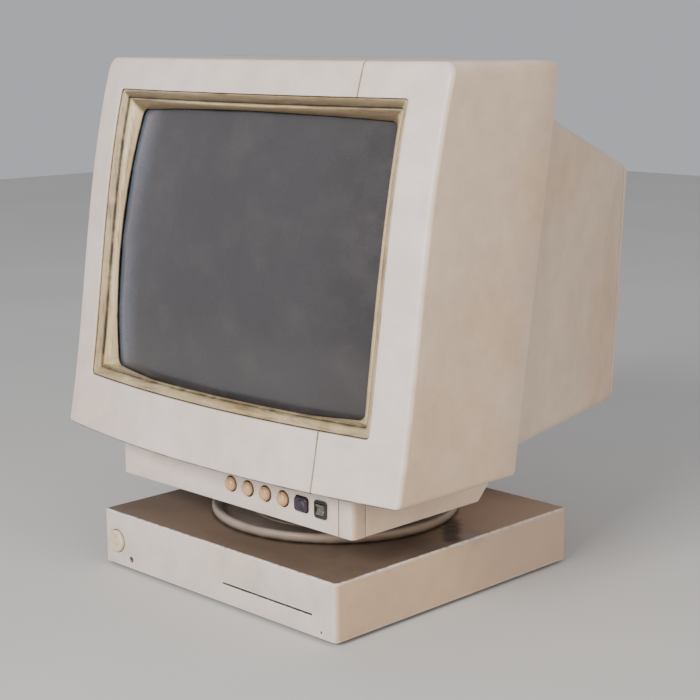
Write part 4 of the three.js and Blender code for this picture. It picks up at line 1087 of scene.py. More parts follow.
class TubeShape:
    """The picture tube's shape, in its own leaning frame."""

    def __init__(self, head):
        self.sizes = bpy.context.scene.monitor_tube
        lean = self.sizes.lean
        low_edge = head.opening_middle - head.opening_half_height
        middle = low_edge + self.sizes.above_bevel + self.sizes.height / 2
        self.half_width = self.sizes.width / 2
        self.half_height = self.sizes.height / 2 / math.cos(lean)
        self.matrix = Matrix.Translation((0, AXIS_Y - self.sizes.ahead, middle))
        self.matrix = self.matrix @ Matrix.Rotation(-lean, 4, "X")

    def glass(self, x, z):
        """The glass's surface, at zero in its corners and ahead of that in its middle."""
        corner = self.half_width**2 + self.half_height**2
        return (x**2 + z**2 - corner) / (2 * self.sizes.radius)

    def visible_edge(self, ahead, outwards, seam, seam_half):
        """The glass's visible edge in the frame, ahead of its face and outwards of its edge."""
        points = outline(
            self.half_width + outwards, self.half_height + outwards,
            self.sizes.corner + outwards, seam=seam, seam_half=seam_half,
        )
        ring = []
        for x, z in points:
            bow_x = self.sizes.side_barrel * (1 - min(1, (z / self.half_height) ** 2))
            barrel = self.sizes.top_barrel if z > 0 else self.sizes.foot_barrel
            bow_z = barrel * (1 - min(1, (x / self.half_width) ** 2))
            wide = x * (1 + bow_x / self.half_width)
            tall = z * (1 + bow_z / self.half_height)
            ring.append(self.matrix @ Vector((wide, self.glass(wide, tall) - ahead, tall)))
        return ring


# ---------------------------------------------------------------- operators: head


class MONITOR_OT_front_housing(Operator):
    """Front housing with its leaning, bowed face, rounded edges and parting line"""

    bl_idname = "monitor.front_housing"
    bl_label = "Front housing"

    def execute(self, context):
        head = HeadShape()
        edge = head.sizes.face_edge
        lip, rear_round, rear_shoulder = 0.9 * MM, 0.9 * MM, 0.25 * MM
        arc_steps, wrapped_steps, face_steps = 7, 5, 8
        rings = [
            ring_at(head.outer(rear_round), head.rear),
            ring_at(head.outer(rear_shoulder), head.rear, -rear_shoulder),
            ring_at(head.outer(0), head.rear, -rear_round),
        ]
        for share in (0.25, 0.5, 0.75, 1.0):

            def side(x, z, share=share):
                return head.rear(x, z) * (1 - share) + (head.face(x, z) + edge) * share

            rings.append(ring_at(head.outer(0), side))
        for step in range(1, arc_steps + 1):
            turn = step / arc_steps * math.pi / 2
            inset, depth = edge * (1 - math.cos(turn)), edge * (1 - math.sin(turn))
            rings.append(ring_at(head.outer(inset), head.face, depth))
        seam_start = len(rings) - wrapped_steps
        outside, inside = head.outer(edge), head.opening(-lip)
        for step in range(1, face_steps + 1):
            rings.append(ring_at(between(outside, inside, step / face_steps), head.face))
        seam_end = len(rings)
        for inset, depth in quarter_round(lip, (30, 60, 90)):
            rings.append(ring_at(head.opening(-inset), head.face, depth))
        rings.append(ring_at(head.opening(0), head.face, WALL))
        rings.append(ring_at(head.outer(WALL), head.face, WALL + MM))
        rings.append(ring_at(head.outer(WALL), head.rear))
        seam, seam_depth = head.sizes.seam_x, 1.0 * MM
        for ring in rings[seam_start:seam_end]:
            for point in ring:
                if abs(point.x - seam) < SAME_PLACE:
                    point.y += seam_depth
        mesh = skin(rings, hoop=True)
        # The seam's groove is darkened with grime and painted shade; a painted shadow line runs along the
        # chin's underside, above the control strip.
        chin_shadow_line = head.foot + 1.2 * MM

        def grooved(co):
            if abs(co.x - seam) < SAME_PLACE and co.y < head.face(co.x, co.z) + edge:
                return 1.0
            return 0.9 if co.z < chin_shadow_line else 0.0

        # Painted highlight, with some scuffing, along the face's rounded edge and along the rear edge.
        def rubbed_and_highlit(co):
            reach = max(abs(co.x) - head.half_width, abs(co.z - head.middle) - head.height / 2) + edge
            behind = co.y - head.face(co.x, co.z)
            if 0.05 * edge < reach < 0.98 * edge and behind < 0.9 * edge:
                return 0.7
            return 0.6 if co.y > head.rear(co.x, co.z) - 0.5 * MM else 0.0

        mark(mesh, "groove", grooved)
        mark(mesh, "worn", rubbed_and_highlit)
        finished("front_housing_shell", mesh, "head", "casing", "front_housing")
        return {"FINISHED"}


class MONITOR_OT_screen_surround(Operator):
    """Two-stepped bevel between the face and the glass"""

    bl_idname = "monitor.screen_surround"
    bl_label = "Screen surround"

    def execute(self, context):
        head = HeadShape()
        tube = TubeShape(head)
        seam = (head.sizes.seam_x, head.sizes.seam_width / 2)
        step_in = head.sizes.step / MM
        # Rows of inset, depth and how dark the crease is with grime and painted shade.
        outer_step = (
            (0.3, 8.0, 0.0), (0.3, 2.1, 0.85), (0.5, 1.6, 0.5), (1.0, 1.4, 0.2), (2.4, 2.0, 0.25),
            (step_in - 1.2, 3.6, 0.4), (step_in - 0.4, 4.1, 0.6), (step_in, 4.8, 0.85),
            (step_in + 0.2, 6.2, 1.0), (step_in + 0.8, 6.6, 0.5), (step_in + 1.6, 6.3, 0.0),
        )
        rings, dirt_and_shade = [], []
        for inset, depth, amount in outer_step:
            rings.append(ring_at(head.opening(inset * MM), head.face, depth * MM))
            dirt_and_shade.append(amount)
        start, end = rings[-1], tube.visible_edge(2.2 * MM, 0.0, *seam)
        for share in (0.12, 0.3, 0.5, 0.7, 0.86, 0.95, 1.0):
            crown = Vector((0, 1.2 * MM * math.sin(math.pi * share), 0))
            rings.append([a.lerp(b, share) - crown for a, b in zip(start, end)])
            dirt_and_shade.append(0.35 if share == 1.0 else 0.0)
        for ahead, outwards, amount in ((1.4, 0.0, 0.9), (0.8, 0.4, 0.0), (0.7, 1.2, 0.0)):
            rings.append(tube.visible_edge(ahead * MM, outwards * MM, *seam))
            dirt_and_shade.append(amount)
        rings.append(ring_at(head.opening(2 * MM), head.face, 9 * MM))
        dirt_and_shade.append(0.0)
        mesh = skin(rings, hoop=True)
        crease = mesh.attributes.new("groove", "FLOAT", "POINT")
        crease.data.foreach_set("value", [amount for amount in dirt_and_shade for _ in rings[0]])
        finished("screen_surround_bevel", mesh, "head", "bevel", "screen_surround")
        return {"FINISHED"}


class MONITOR_OT_picture_tube(Operator):
    """Picture tube: face glass, skirt, coated funnel and neck"""

    bl_idname = "monitor.picture_tube"
    bl_label = "Picture tube"

    def execute(self, context):
        tube = TubeShape(HeadShape())
        wide, tall = tube.half_width + tube.sizes.hidden, tube.half_height + tube.sizes.hidden
        neck, neck_round = 14.5 * MM, 2 * MM
        face_end, skirt, funnel_end, neck_end = 12 * MM, 45 * MM, 182 * MM, 268 * MM
        square, round_power = 9, 2
        funnel = (
            (0, 1.0, square), (0.22, 0.81, 5), (0.45, 0.55, 3.4), (0.67, 0.31, 2.5),
            (0.86, 0.1, round_power), (1, 0, round_power),
        )

        def ring(half_width, half_height, power, surface, behind=0.0):
            """A ring between a circle (power 2) and a near rectangle (power 9)."""
            points = []
            for a, b in circle(1.0, 128):
                x = half_width * math.copysign(abs(a) ** (2 / power), a)
                z = half_height * math.copysign(abs(b) ** (2 / power), b)
                points.append(tube.matrix @ Vector((x, surface(x, z) + behind, z)))
            return points

        rings = [
            ring(wide * share, tall * share, square, tube.glass)
            for share in (0.02, 0.12, 0.24, 0.36, 0.48, 0.6, 0.7, 0.8, 0.88, 0.94, 0.975, 0.99)
        ]
        rings.append(ring(wide * 0.998, tall * 0.998, square, tube.glass, 1.2 * MM))
        rings.append(ring(wide, tall, square, level, face_end))
        rings.append(ring(wide, tall, square, level, skirt))
        for first, second in zip(funnel, funnel[1:]):
            for share in (1 / 3, 2 / 3, 1):
                along, size, power = (a + (b - a) * share for a, b in zip(first, second))
                half_width, half_height = neck + (wide - neck) * size, neck + (tall - neck) * size
                depth = skirt + (funnel_end - skirt) * along
                rings.append(ring(half_width, half_height, power, level, depth))
        rings.append(ring(neck, neck, round_power, level, neck_end - neck_round))
        rings.append(ring(neck - neck_round, neck - neck_round, round_power, level, neck_end))
        piece = finished("picture_tube_glass", skin(rings), "head", "glass", "picture_tube")
        piece.data.materials.append(material_for("graphite"))
        inverse = tube.matrix.inverted()
        for polygon in piece.data.polygons:
            if (inverse @ polygon.center).y > skirt - MM:
                polygon.material_index = 1
        return {"FINISHED"}


def cover_outline(head, share, inset, tail):
    """The rear cover's section, at a share of the way from its front to its tail."""
    shoulder_side, shoulder_top, shoulder_bottom, radius = 7 * MM, 32.5 * MM, 14 * MM, 9 * MM

    def mix(front, back):
        return front + (back - front) * share

    front_half = head.half_width - shoulder_side
    top_half = mix(front_half, tail["top_width"] / 2) - inset
    bottom_half = mix(front_half, tail["bottom_width"] / 2) - inset
    top = mix(head.foot + head.height - shoulder_top, tail["top"]) - inset
    bottom = mix(head.foot + shoulder_bottom, tail["bottom"]) + inset
    points = outline(top_half, (top - bottom) / 2, max(radius - inset, 2 * MM), (top + bottom) / 2)
    narrow = bottom_half / top_half
    return [(x * (narrow + (1 - narrow) * (z - bottom) / (top - bottom)), z) for x, z in points]


class MONITOR_OT_rear_cover(Operator):
    """Rear cover with its vents, socket openings and grooved tail"""

    bl_idname = "monitor.rear_cover"
    bl_label = "Rear cover"

    def execute(self, context):
        head = HeadShape()
        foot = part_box("rear_cover")[0].z
        front, back = head.rear_foot, AXIS_Y + 220 * MM
        tail = {"top_width": 207 * MM, "bottom_width": 189 * MM, "bottom": foot, "top": foot + 192 * MM}
        tail_middle = (tail["top"] + tail["bottom"]) / 2
        edge, front_round, lip_depth = 2.6 * MM, 1.2 * MM, 4 * MM
        tail_groove = ((7.0, 0), (7.4, 0.7), (8.0, 0.7), (8.4, 0))

        def seam(x, z):
            return head.rear(x, z) - 1 * MM

        def body(share, inset):
            return cover_outline(head, share, inset, tail)

        def at(distance):
            """The share of the way to the tail, at a distance ahead of it."""
            return 1 - distance / (back - front)

        rings = []
        for inset, ahead in quarter_round(edge, (0, 18, 36, 54, 72, 90)):
            rings.append(ring_at(body(at(ahead), inset), level, back - ahead))
        for ahead, inset in tail_groove:
            rings.append(ring_at(body(at(ahead * MM), inset * MM), level, back - ahead * MM))
        for share in (0.75, 0.5, 0.25):

            def flank(x, z, share=share):
                return seam(x, z) * (1 - share) + back * share

            rings.append(ring_at(body(share, 0), flank))
        rings.append(ring_at(body(0, 0), seam, front_round))
        rings.append(ring_at(body(0, -front_round), seam))
        lip = outline(
            head.half_width - WALL - FIT_GAP, head.height / 2 - WALL - FIT_GAP,
            head.sizes.top_corner - WALL - FIT_GAP, head.middle,
        )
        rings.append(ring_at(between(body(0, 0), lip, 0.5), seam))
        rings.append(ring_at(lip, seam))
        rings.append(ring_at(lip, seam, -lip_depth))
        rings.append(ring_at(body(0, WALL), seam, -lip_depth))
        rings.append(ring_at(body(1, WALL), level, back - WALL))
        cutters = self.vents(back, tail_middle, head.foot + head.height) + self.holes(back)
        mesh = eased(combined(skin(rings), cutters), 0.35 * MM)
        groove_low, groove_high = back - 8.2 * MM, back - 7.2 * MM
        worn_and_lit_low, worn_and_lit_high = back - 2.2 * MM, back - 0.3 * MM
        # The tail's groove is darkened with grime and painted shade; a light line along its rear edge is
        # partly scuffing and partly painted highlight.
        mark(mesh, "groove", lambda co: 0.8 if groove_low < co.y < groove_high else 0.0)
        mark(mesh, "worn", lambda co: 0.5 if worn_and_lit_low < co.y < worn_and_lit_high else 0.0)
        finished("rear_cover_shell", mesh, "head", "casing", "rear_cover")
        return {"FINISHED"}

    def vents(self, back, tail_middle, top):
        """Two banks of slots in the sloping top, and one bank in the tail."""
        rows, pitch, width, row_length = 8, 7.5 * MM, 3 * MM, 62 * MM
        rib, first_ahead, first_above, top_above = 6 * MM, 40 * MM, 8 * MM, 48 * MM
        cutters = []
        for row in range(rows):
            y = back - first_ahead - row * pitch
            for side in (-1, 1):
                start, end = sorted((side * rib, side * (rib + row_length)))
                cutters.append(block((start, y, tail_middle + top_above), (end, y + width, top)))
            z = tail_middle + first_above + row * pitch
            start, end = back - WALL - 2 * OVERSHOOT, back + 2 * OVERSHOOT
            cutters.append(block((-row_length, start, z), (row_length, end, z + width)))
        return cutters

    def holes(self, back):
        """Openings for the two sockets, and bores for the two screws."""
        sockets = {"power_inlet": (27.6 * MM, 20.6 * MM), "signal_socket": (25.6 * MM, 11.6 * MM)}
        cutters = []
        for node, size in sockets.items():
            start, end = back - 5 * MM, back + 2 * OVERSHOOT
            cutters.append(slab(*size, 1.5 * MM, start, end, middle_of(node)))
        for node in ("cover_screw_1", "cover_screw_2"):
            low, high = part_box(node)
            x, _, z = middle_of(node)
            cutters.append(rod("y", 2.3 * MM, low.y, high.y + 4 * MM, (x, 0, z)))
        return cutters


class MONITOR_OT_lower_housing(Operator):
    """Lower housing with its slanted back"""

    bl_idname = "monitor.lower_housing"
    bl_label = "Lower housing"

    def execute(self, context):
        low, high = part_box("lower_housing")
        slope, rim, front_rim = 14 * MM, 12 * MM, 4.5 * MM

        def profile(inset, top):
            return [
                (low.y + inset, top),
                (low.y + inset, low.z + inset),
                (high.y - slope - inset / 2, low.z + inset),
                (high.y - inset, low.z + slope + inset / 2),
                (high.y - inset, top),
            ]

        body = eased(prism(profile(0, high.z), low.x, high.x), 1.3 * MM, 4, math.radians(30))
        inside = prism(profile(WALL, high.z - WALL), low.x + WALL, high.x - WALL)
        top_opening = block(
            (low.x + rim, low.y + rim, high.z - 5 * MM), (high.x - rim, high.y - 50 * MM, high.z + OVERSHOOT)
        )
        front_opening = block(
            (low.x + rim, low.y - OVERSHOOT, low.z + front_rim),
            (high.x - rim, low.y + 8 * MM, high.z - front_rim),
        )
        mesh = body
        for cutter in (inside, top_opening, front_opening):
            mesh = combined(mesh, [cutter])
        finished("lower_housing_shell", mesh, "head", "casing", "lower_housing")
        return {"FINISHED"}


class MONITOR_OT_control_strip(Operator):
    """Control panel with its holes, and the corner piece beside it"""

    bl_idname = "monitor.control_strip"
    bl_label = "Control strip"

    def execute(self, context):
        for node, side in (("control_panel", -1), ("panel_corner", 1)):
            low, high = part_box(node)
            left_wall, right_wall = (THIN_WALL, -OVERSHOOT) if side < 0 else (-OVERSHOOT, THIN_WALL)
            body = eased(self.rounded_end(low, high, side), 0.8 * MM, 3)
            inside = block(
                (low.x + left_wall, low.y + THIN_WALL, low.z + THIN_WALL),
                (high.x - right_wall, high.y + OVERSHOOT, high.z - THIN_WALL),
            )
            mesh = combined(body, [inside])
            if node == "control_panel":
                mesh = eased(combined(mesh, self.holes(low.y)), 0.3 * MM)
            finished(f"{node}_shell", mesh, "head", "casing", node)
        return {"FINISHED"}

    def rounded_end(self, low, high, side):
        """A block whose outer front edge, on the right (1) or the left (-1), is rounded."""
        radius, steps = 4 * MM, 8
        outer, inner = (high.x, low.x) if side > 0 else (low.x, high.x)
        points = [(inner, high.y), (inner, low.y)]
        for inset, behind in quarter_round(radius, [step * 90 / steps for step in range(steps + 1)]):
            points.append((outer - side * inset, low.y + behind))
        points.append((outer, high.y))
        return skin([[Vector((x, y, z)) for x, y in points] for z in (low.z, high.z)])

    def holes(self, front):
        """Round holes for the knobs, and rounded square ones for the button and the rocker's frame."""
        start, end = front - OVERSHOOT, front + THIN_WALL + OVERSHOOT
        cutters = []
        for number in range(1, 5):
            low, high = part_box(f"knob_{number}")
            x, _, z = middle_of(f"knob_{number}")
            cutters.append(rod("y", (high.x - low.x) / 2 + 0.85 * MM, start, end, (x, 0, z)))
        for node, wider, corner in (("mode_button", 1.3, 2.8), ("rocker_frame", -1.4, 1.5)):
            low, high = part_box(node)
            width, height = high.x - low.x + wider * MM, high.z - low.z + wider * MM
            cutters.append(slab(width, height, corner * MM, start, end, middle_of(node)))
        return cutters


class MONITOR_OT_knobs(Operator):
    """Four domed knobs, each with a pointer groove and a spindle"""

    bl_idname = "monitor.knobs"
    bl_label = "Knobs"

    def execute(self, context):
        for number in range(1, 5):
            node = f"knob_{number}"
            low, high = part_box(node)
            x, _, z = middle_of(node)
            radius, end = (high.x - low.x) / 2, high.y - low.y
            dome, cap_end, edge = 3.2 * MM, 8.5 * MM, 0.3 * MM
            spindle, pointer_half, pointer_depth = 2.5 * MM, 0.4 * MM, 2.2 * MM
            profile = [
                (share * radius, dome * (1 - math.sqrt(1 - share**2)))
                for share in (0.04, 0.2, 0.35, 0.5, 0.62, 0.73, 0.82, 0.89, 0.94, 0.975, 0.995, 1.0)
            ]
            profile += [
                (radius, cap_end - edge), (radius - edge, cap_end), (spindle, cap_end),
                (spindle, end - edge), (spindle - edge, end),
            ]
            pointer = block(
                (x - pointer_half, low.y - OVERSHOOT, z + radius * 0.72),
                (x + pointer_half, low.y + pointer_depth, high.z + OVERSHOOT),
            )
            mesh = combined(turned("y", profile, (x, low.y, z), 72), [pointer])
            finished(f"{node}_turned", mesh, node, "knob", node)
        return {"FINISHED"}


class MONITOR_OT_mode_button(Operator):
    """Mode button: a rounded square cap with a round crown, on a stem"""

    bl_idname = "monitor.mode_button"
    bl_label = "Mode button"

    def execute(self, context):
        low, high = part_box("mode_button")
        x, y, z = middle_of("mode_button")
        crown_proud, cap_depth, corner, stem_half = 0.8 * MM, 7.5 * MM, 2.5 * MM, 2 * MM
        front = low.y + crown_proud
        cap = slab(high.x - low.x, high.z - low.z, corner, front, front + cap_depth, (x, y, z))
        cap = eased(cap, 0.9 * MM, 4)
        stem = block((x - stem_half, front + 5 * MM, z - stem_half), (x + stem_half, high.y, z + stem_half))
        profile = [
            (0.4 * MM, 0.35 * MM), (2.4 * MM, 0.15 * MM), (3.1 * MM, 0.0), (3.6 * MM, 0.1 * MM),
            (4.0 * MM, 0.45 * MM), (4.2 * MM, 1.0 * MM), (4.2 * MM, 3 * MM),
        ]
        crown = turned("y", profile, (x, low.y, z))
        mesh = combined(combined(cap, [stem], "UNION"), [crown], "UNION")
        finished("mode_button_cap", mesh, "mode_button", "button", "mode_button")
        return {"FINISHED"}


class MONITOR_OT_rocker(Operator):
    """Rocker with a dished face, and the frame that it turns in"""

    bl_idname = "monitor.rocker"
    bl_label = "Rocker"

    def execute(self, context):
        low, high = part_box("rocker")
        frame_low, frame_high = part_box("rocker_frame")
        panel_front = frame_low.y + 1.3 * MM
        pivot_y = panel_front + 3.5 * MM
        x, _, z = middle_of("rocker")
        half, cap_half, dish, dish_steps = (high.z - low.z) / 2, 3.7 * MM, 1.0 * MM, 10
        points = []
        for step in range(dish_steps + 1):
            share = 2 * step / dish_steps - 1
            points.append((low.y + dish * math.cos(math.pi * share / 2) ** 2, z + half * share))
        points += [
            (low.y + 3.4 * MM, z + half - 0.5 * MM), (pivot_y + 2.5 * MM, z + 2 * MM),
            (pivot_y + 2.5 * MM, z - 2 * MM), (low.y + 3.4 * MM, z - half + 0.5 * MM),
        ]
        cap = eased(prism(points, x - cap_half, x + cap_half), 0.35 * MM, 3, math.radians(50))
        pin = rod("x", 1.2 * MM, low.x - x, high.x - x, (x, pivot_y, z), 24)
        finished("rocker_cap", combined(cap, [pin], "UNION"), "rocker", "rocker", "rocker")
        width, height = frame_high.x - frame_low.x, frame_high.z - frame_low.z
        spot = (x, 0, z)
        flange = eased(slab(width, height, 2 * MM, frame_low.y, panel_front - FIT_GAP, spot), 0.35 * MM, 3)
        sleeve_start = panel_front - 0.6 * MM
        sleeve = slab(width - 2 * MM, height - 2 * MM, 1.5 * MM, sleeve_start, frame_high.y, spot)
        well = slab(8.1 * MM, 8.8 * MM, 0.6 * MM, frame_low.y - 2 * OVERSHOOT, panel_front + 11 * MM, spot)
        bore = rod("x", 1.4 * MM, -7 * MM, 7 * MM, (x, pivot_y, z), 24)
        mesh = combined(combined(flange, [sleeve], "UNION"), [well])
        mesh = combined(mesh, [bore])
        finished("rocker_frame_moulding", mesh, "head", "dark_plastic", "rocker_frame")
        return {"FINISHED"}


# ---------------------------------------------------------------- operators: stand and base


class MONITOR_OT_swivel_dish(Operator):
    """Swivel dish: rounded rim, sunk floor, hub and the ears that carry the axle"""

    bl_idname = "monitor.swivel_dish"
    bl_label = "Swivel dish"

    def execute(self, context):
        low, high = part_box("swivel_dish")
        base_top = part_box("base_cover")[1].z
        radius, floor = (high.x - low.x) / 2, base_top + FIT_GAP
        hub, hub_edge, hub_foot = 15 * MM, 0.4 * MM, low.z - floor
        rim = (
            (4, 0), (2, 0.5), (0.8, 1.5), (0.2, 3), (0, 4.4), (0.2, 5.8), (0.9, 7.0), (2.0, 7.55), (3.0, 7.7),
            (4.0, 7.5), (4.9, 7.0), (5.6, 6.0), (6.4, 4.6), (7.4, 3.6), (9, 3.2),
        )
        bead = ((30, 3.2), (30.6, 3.7), (32, 3.9), (33.4, 3.7), (34, 3.2))
        profile = [
            (0.5 * MM, hub_foot), (hub - hub_edge, hub_foot), (hub, hub_foot + hub_edge), (hub, 0),
            *((radius - inset * MM, up * MM) for inset, up in rim + bead),
            (0.5 * MM, 3.2 * MM),
        ]
        mesh = turned("z", profile, (0, AXIS_Y, floor), 160)
        axle_z = middle_of("tilt_axle")[2]
        ear_radius, ear_start, ear_end, bore = 7 * MM, 31 * MM, 37 * MM, 4.3 * MM
        for side in (-1, 1):
            start, end = sorted((side * ear_start, side * ear_end))
            round_end = rod("x", ear_radius, start, end, (0, AXIS_Y, axle_z), 48)
            leg = block((start, AXIS_Y - ear_radius, floor + 1.5 * MM), (end, AXIS_Y + ear_radius, axle_z))
            ear = eased(combined(round_end, [leg], "UNION"), 0.6 * MM, 3)
            mesh = combined(mesh, [ear], "UNION")
        ear_reach = ear_end + OVERSHOOT
        bolt_bore = rod("z", bore, low.z - OVERSHOOT, base_top + 6 * MM, (0, AXIS_Y, 0))
        axle_bore = rod("x", bore, -ear_reach, ear_reach, (0, AXIS_Y, axle_z))
        mesh = combined(combined(mesh, [bolt_bore]), [axle_bore])
        finish = material_for("stand")
        finished("swivel_dish_moulding", mesh, "stand", "casing", "swivel_dish", material=finish)
        return {"FINISHED"}


class MONITOR_OT_tilt_axle(Operator):
    """Tilt axle with its head"""

    bl_idname = "monitor.tilt_axle"
    bl_label = "Tilt axle"

    def execute(self, context):
        low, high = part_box("tilt_axle")
        _, y, z = middle_of("tilt_axle")
        shank, cap, point, cap_depth = 4 * MM, 6 * MM, 0.8 * MM, 2 * MM
        profile = [
            (shank - point, low.x), (shank, low.x + point), (shank, high.x - cap_depth),
            (cap - 0.3 * MM, high.x - cap_depth), (cap, high.x - 1.7 * MM), (cap, high.x - 0.7 * MM),
            (cap - 0.6 * MM, high.x),
        ]
        mesh = turned("x", profile, (0, y, z), 64)
        finished("tilt_axle_turned", mesh, "stand", "steel", "tilt_axle")
        return {"FINISHED"}


class MONITOR_OT_base_cover(Operator):
    """Base unit's case with its rounded edges, slot, holes and rear vents"""

    bl_idname = "monitor.base_cover"
    bl_label = "Base case"

    def execute(self, context):
        low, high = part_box("base_cover")
        half_width, half_depth = high.x, (high.y - low.y) / 2
        edge, foot_edge, corner, tightest = 1.8 * MM, 0.6 * MM, 4 * MM, 1 * MM

        def ring(inset, z):
            radius = max(corner - inset, tightest)
            points = outline(half_width - inset, half_depth - inset, radius, AXIS_Y, 10, (12, 12))
            return [Vector((x, y, z)) for x, y in points]

        rings = [ring(edge + 8 * MM, high.z), ring(edge + 0.9 * MM, high.z)]
        for inset, down in quarter_round(edge, (0, 18, 36, 54, 72, 90)):
            rings.append(ring(inset, high.z - down))
        rings += [ring(0, low.z + foot_edge), ring(foot_edge, low.z)]
        rings += [ring(THIN_WALL, low.z), ring(THIN_WALL, high.z - THIN_WALL)]
        mesh = eased(combined(skin(rings), self.holes(low, high) + self.vents(low, high)), 0.3 * MM)

        # The top's outer edges are lightened, partly as scuffing and partly as painted highlight.
        def rubbed_and_highlit(co):
            reach = max(abs(co.x) - half_width, abs(co.y - AXIS_Y) - half_depth)
            return 0.9 if co.z > high.z - 0.6 * edge and reach > -edge else 0.0

        mark(mesh, "worn", rubbed_and_highlit)
        finished("base_cover_shell", mesh, "base", "base_casing", "base_cover")
        return {"FINISHED"}

    def holes(self, low, high):
        """Bores for the hub, the button, the jack, the pinhole and the power socket, and the slot."""
        front, back = low.y - OVERSHOOT, low.y + THIN_WALL + OVERSHOOT
        button_low, button_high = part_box("base_button")
        button_x, _, button_z = middle_of("base_button")
        jack = (middle_of("jack_socket")[0], 0, low.z + 7.1 * MM)
        power = (middle_of("base_power_socket")[0], 0, low.z + 15 * MM)
        pinhole = (high.x - 14 * MM, 0, low.z + 4.6 * MM)
        slot_end, slot_length, slot_half = high.x - 22.5 * MM, 91 * MM, 0.75 * MM
        slot_z = low.z + 14.9 * MM
        return [
            rod("z", 15.4 * MM, high.z - THIN_WALL - OVERSHOOT, high.z + OVERSHOOT, (0, AXIS_Y, 0), 64),
            rod("y", (button_high.x - button_low.x) / 2 + 0.4 * MM, front, back, (button_x, 0, button_z), 64),
            rod("y", 2.5 * MM, front, back, jack, 40),
            rod("y", 1 * MM, front, back, pinhole, 24),
            rod("y", 4.8 * MM, high.y - THIN_WALL - OVERSHOOT, high.y + OVERSHOOT, power, 40),
            block((slot_end - slot_length, front, slot_z - slot_half), (slot_end, back, slot_z + slot_half)),
        ]

    def vents(self, low, high):
        """Upright slots in the rear wall."""
        start, end = high.y - THIN_WALL - OVERSHOOT, high.y + OVERSHOOT
        foot, top, width, pitch = low.z + 14 * MM, low.z + 30 * MM, 3 * MM, 8
        places = [(-100 + row * pitch) * MM for row in range(9)]
        return [block((x, start, foot), (x + width, end, top)) for x in places]


class MONITOR_OT_base_button(Operator):
    """Base unit's round, slightly dished push button"""

    bl_idname = "monitor.base_button"
    bl_label = "Base button"

    def execute(self, context):
        low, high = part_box("base_button")
        x, _, z = middle_of("base_button")
        radius, end = (high.x - low.x) / 2, high.y - low.y
        cap_end, stem, edge = 8.1 * MM, 3 * MM, 0.3 * MM
        profile = [
            (0.4 * MM, 0.5 * MM), (0.45 * radius, 0.36 * MM), (0.68 * radius, 0.1 * MM), (0.78 * radius, 0.0),
            (0.88 * radius, 0.16 * MM), (0.95 * radius, 0.55 * MM), (0.99 * radius, 1.2 * MM),
            (radius, 2.0 * MM), (radius, cap_end), (stem, cap_end), (stem, end - edge), (stem - edge, end),
        ]
        mesh = turned("y", profile, (x, low.y, z), 96)
        finish = material_for("base_button")
        finished("base_button_cap", mesh, "base_button", "knob", "base_button", material=finish)
        return {"FINISHED"}


class MONITOR_OT_feet(Operator):
    """Four rubber feet with rounded edges and a shallow cup underneath"""

    bl_idname = "monitor.feet"
    bl_label = "Feet"

    def execute(self, context):
        for place in ("front_left", "front_right", "rear_left", "rear_right"):
            low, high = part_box(f"foot_{place}")
            x, y, _ = middle_of(f"foot_{place}")
            radius, top, cup, edge = (high.x - low.x) / 2, high.z - low.z, 0.3 * MM, 0.2 * MM
            profile = [
                (0.4 * MM, cup), (radius * 0.4, cup), (radius * 0.46, 0.0), (radius - 0.9 * MM, 0.0),
                (radius - 0.35 * MM, 0.2 * MM), (radius, 0.8 * MM), (radius, top - edge),
                (radius - edge, top), (0.4 * MM, top),
            ]
            mesh = turned("z", profile, (x, y, low.z), 64)
            finished(f"foot_{place}_rubber", mesh, "base", "rubber", f"foot_{place}")
        return {"FINISHED"}


class MONITOR_OT_screws(Operator):
    """Cross-headed screws that hold the rear cover"""

    bl_idname = "monitor.screws"
    bl_label = "Cover screws"

    def execute(self, context):
        for number in (1, 2):
            node = f"cover_screw_{number}"
            low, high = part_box(node)
            x, _, z = middle_of(node)
            radius, end = (high.x - low.x) / 2, high.y - low.y
            crest, root, pitch, threads, head_depth = 1.9 * MM, 1.55 * MM, 1.05 * MM, 14, 2.1 * MM
            profile = [(0.5 * MM, 0), (crest, 1.6 * MM)]
            for thread in range(threads):
                start = 2.4 * MM + thread * pitch
                profile += [(root, start), (crest, start + 0.5 * MM)]
            profile += [
                (crest, end - head_depth), (radius - 0.2 * MM, end - head_depth), (radius, end - 1.9 * MM),
                (radius - 0.1 * MM, end - 1.3 * MM), (radius * 0.75, end - 0.4 * MM),
                (radius * 0.4, end), (0.4 * MM, end),
            ]
            mesh = turned("y", profile, (x, low.y, z), 40)
            arm, half = 1.9 * MM, 0.4 * MM
            front, back = high.y - 1.3 * MM, high.y + OVERSHOOT
            for across, up in ((arm, half), (half, arm)):
                slot = block((x - across, front, z - up), (x + across, back, z + up))
                mesh = combined(mesh, [slot])
            finished(f"{node}_threaded", mesh, "head", "steel", node)
        return {"FINISHED"}


class MONITOR_OT_inner_parts(Operator):
    """Finishes for the pieces that keep their CAD shape"""

    bl_idname = "monitor.inner_parts"
    bl_label = "Inner parts"

    def execute(self, context):
        rebuilt = {name for piece in bpy.data.objects for name in piece.get("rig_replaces", [])}
        slots = {part["node"]: part["material_slot"] for part in frame["record"]["subparts"]}
        for name, node in frame["nodes"].items():
            node.data.materials.clear()
            node.data.materials.append(material_for(slots[name]))
            if name in rebuilt:
                continue
            weld = node.modifiers.new("weld", "WELD")
            weld.merge_threshold = 0.01 * MM
            bevel = node.modifiers.new("edges", "BEVEL")
            bevel.width = 0.25 * MM
            bevel.segments = 2
            bevel.limit_method = "ANGLE"
            bevel.angle_limit = math.radians(40)
            node.modifiers.new("shading", "WEIGHTED_NORMAL")
        return {"FINISHED"}


# ---------------------------------------------------------------- stage


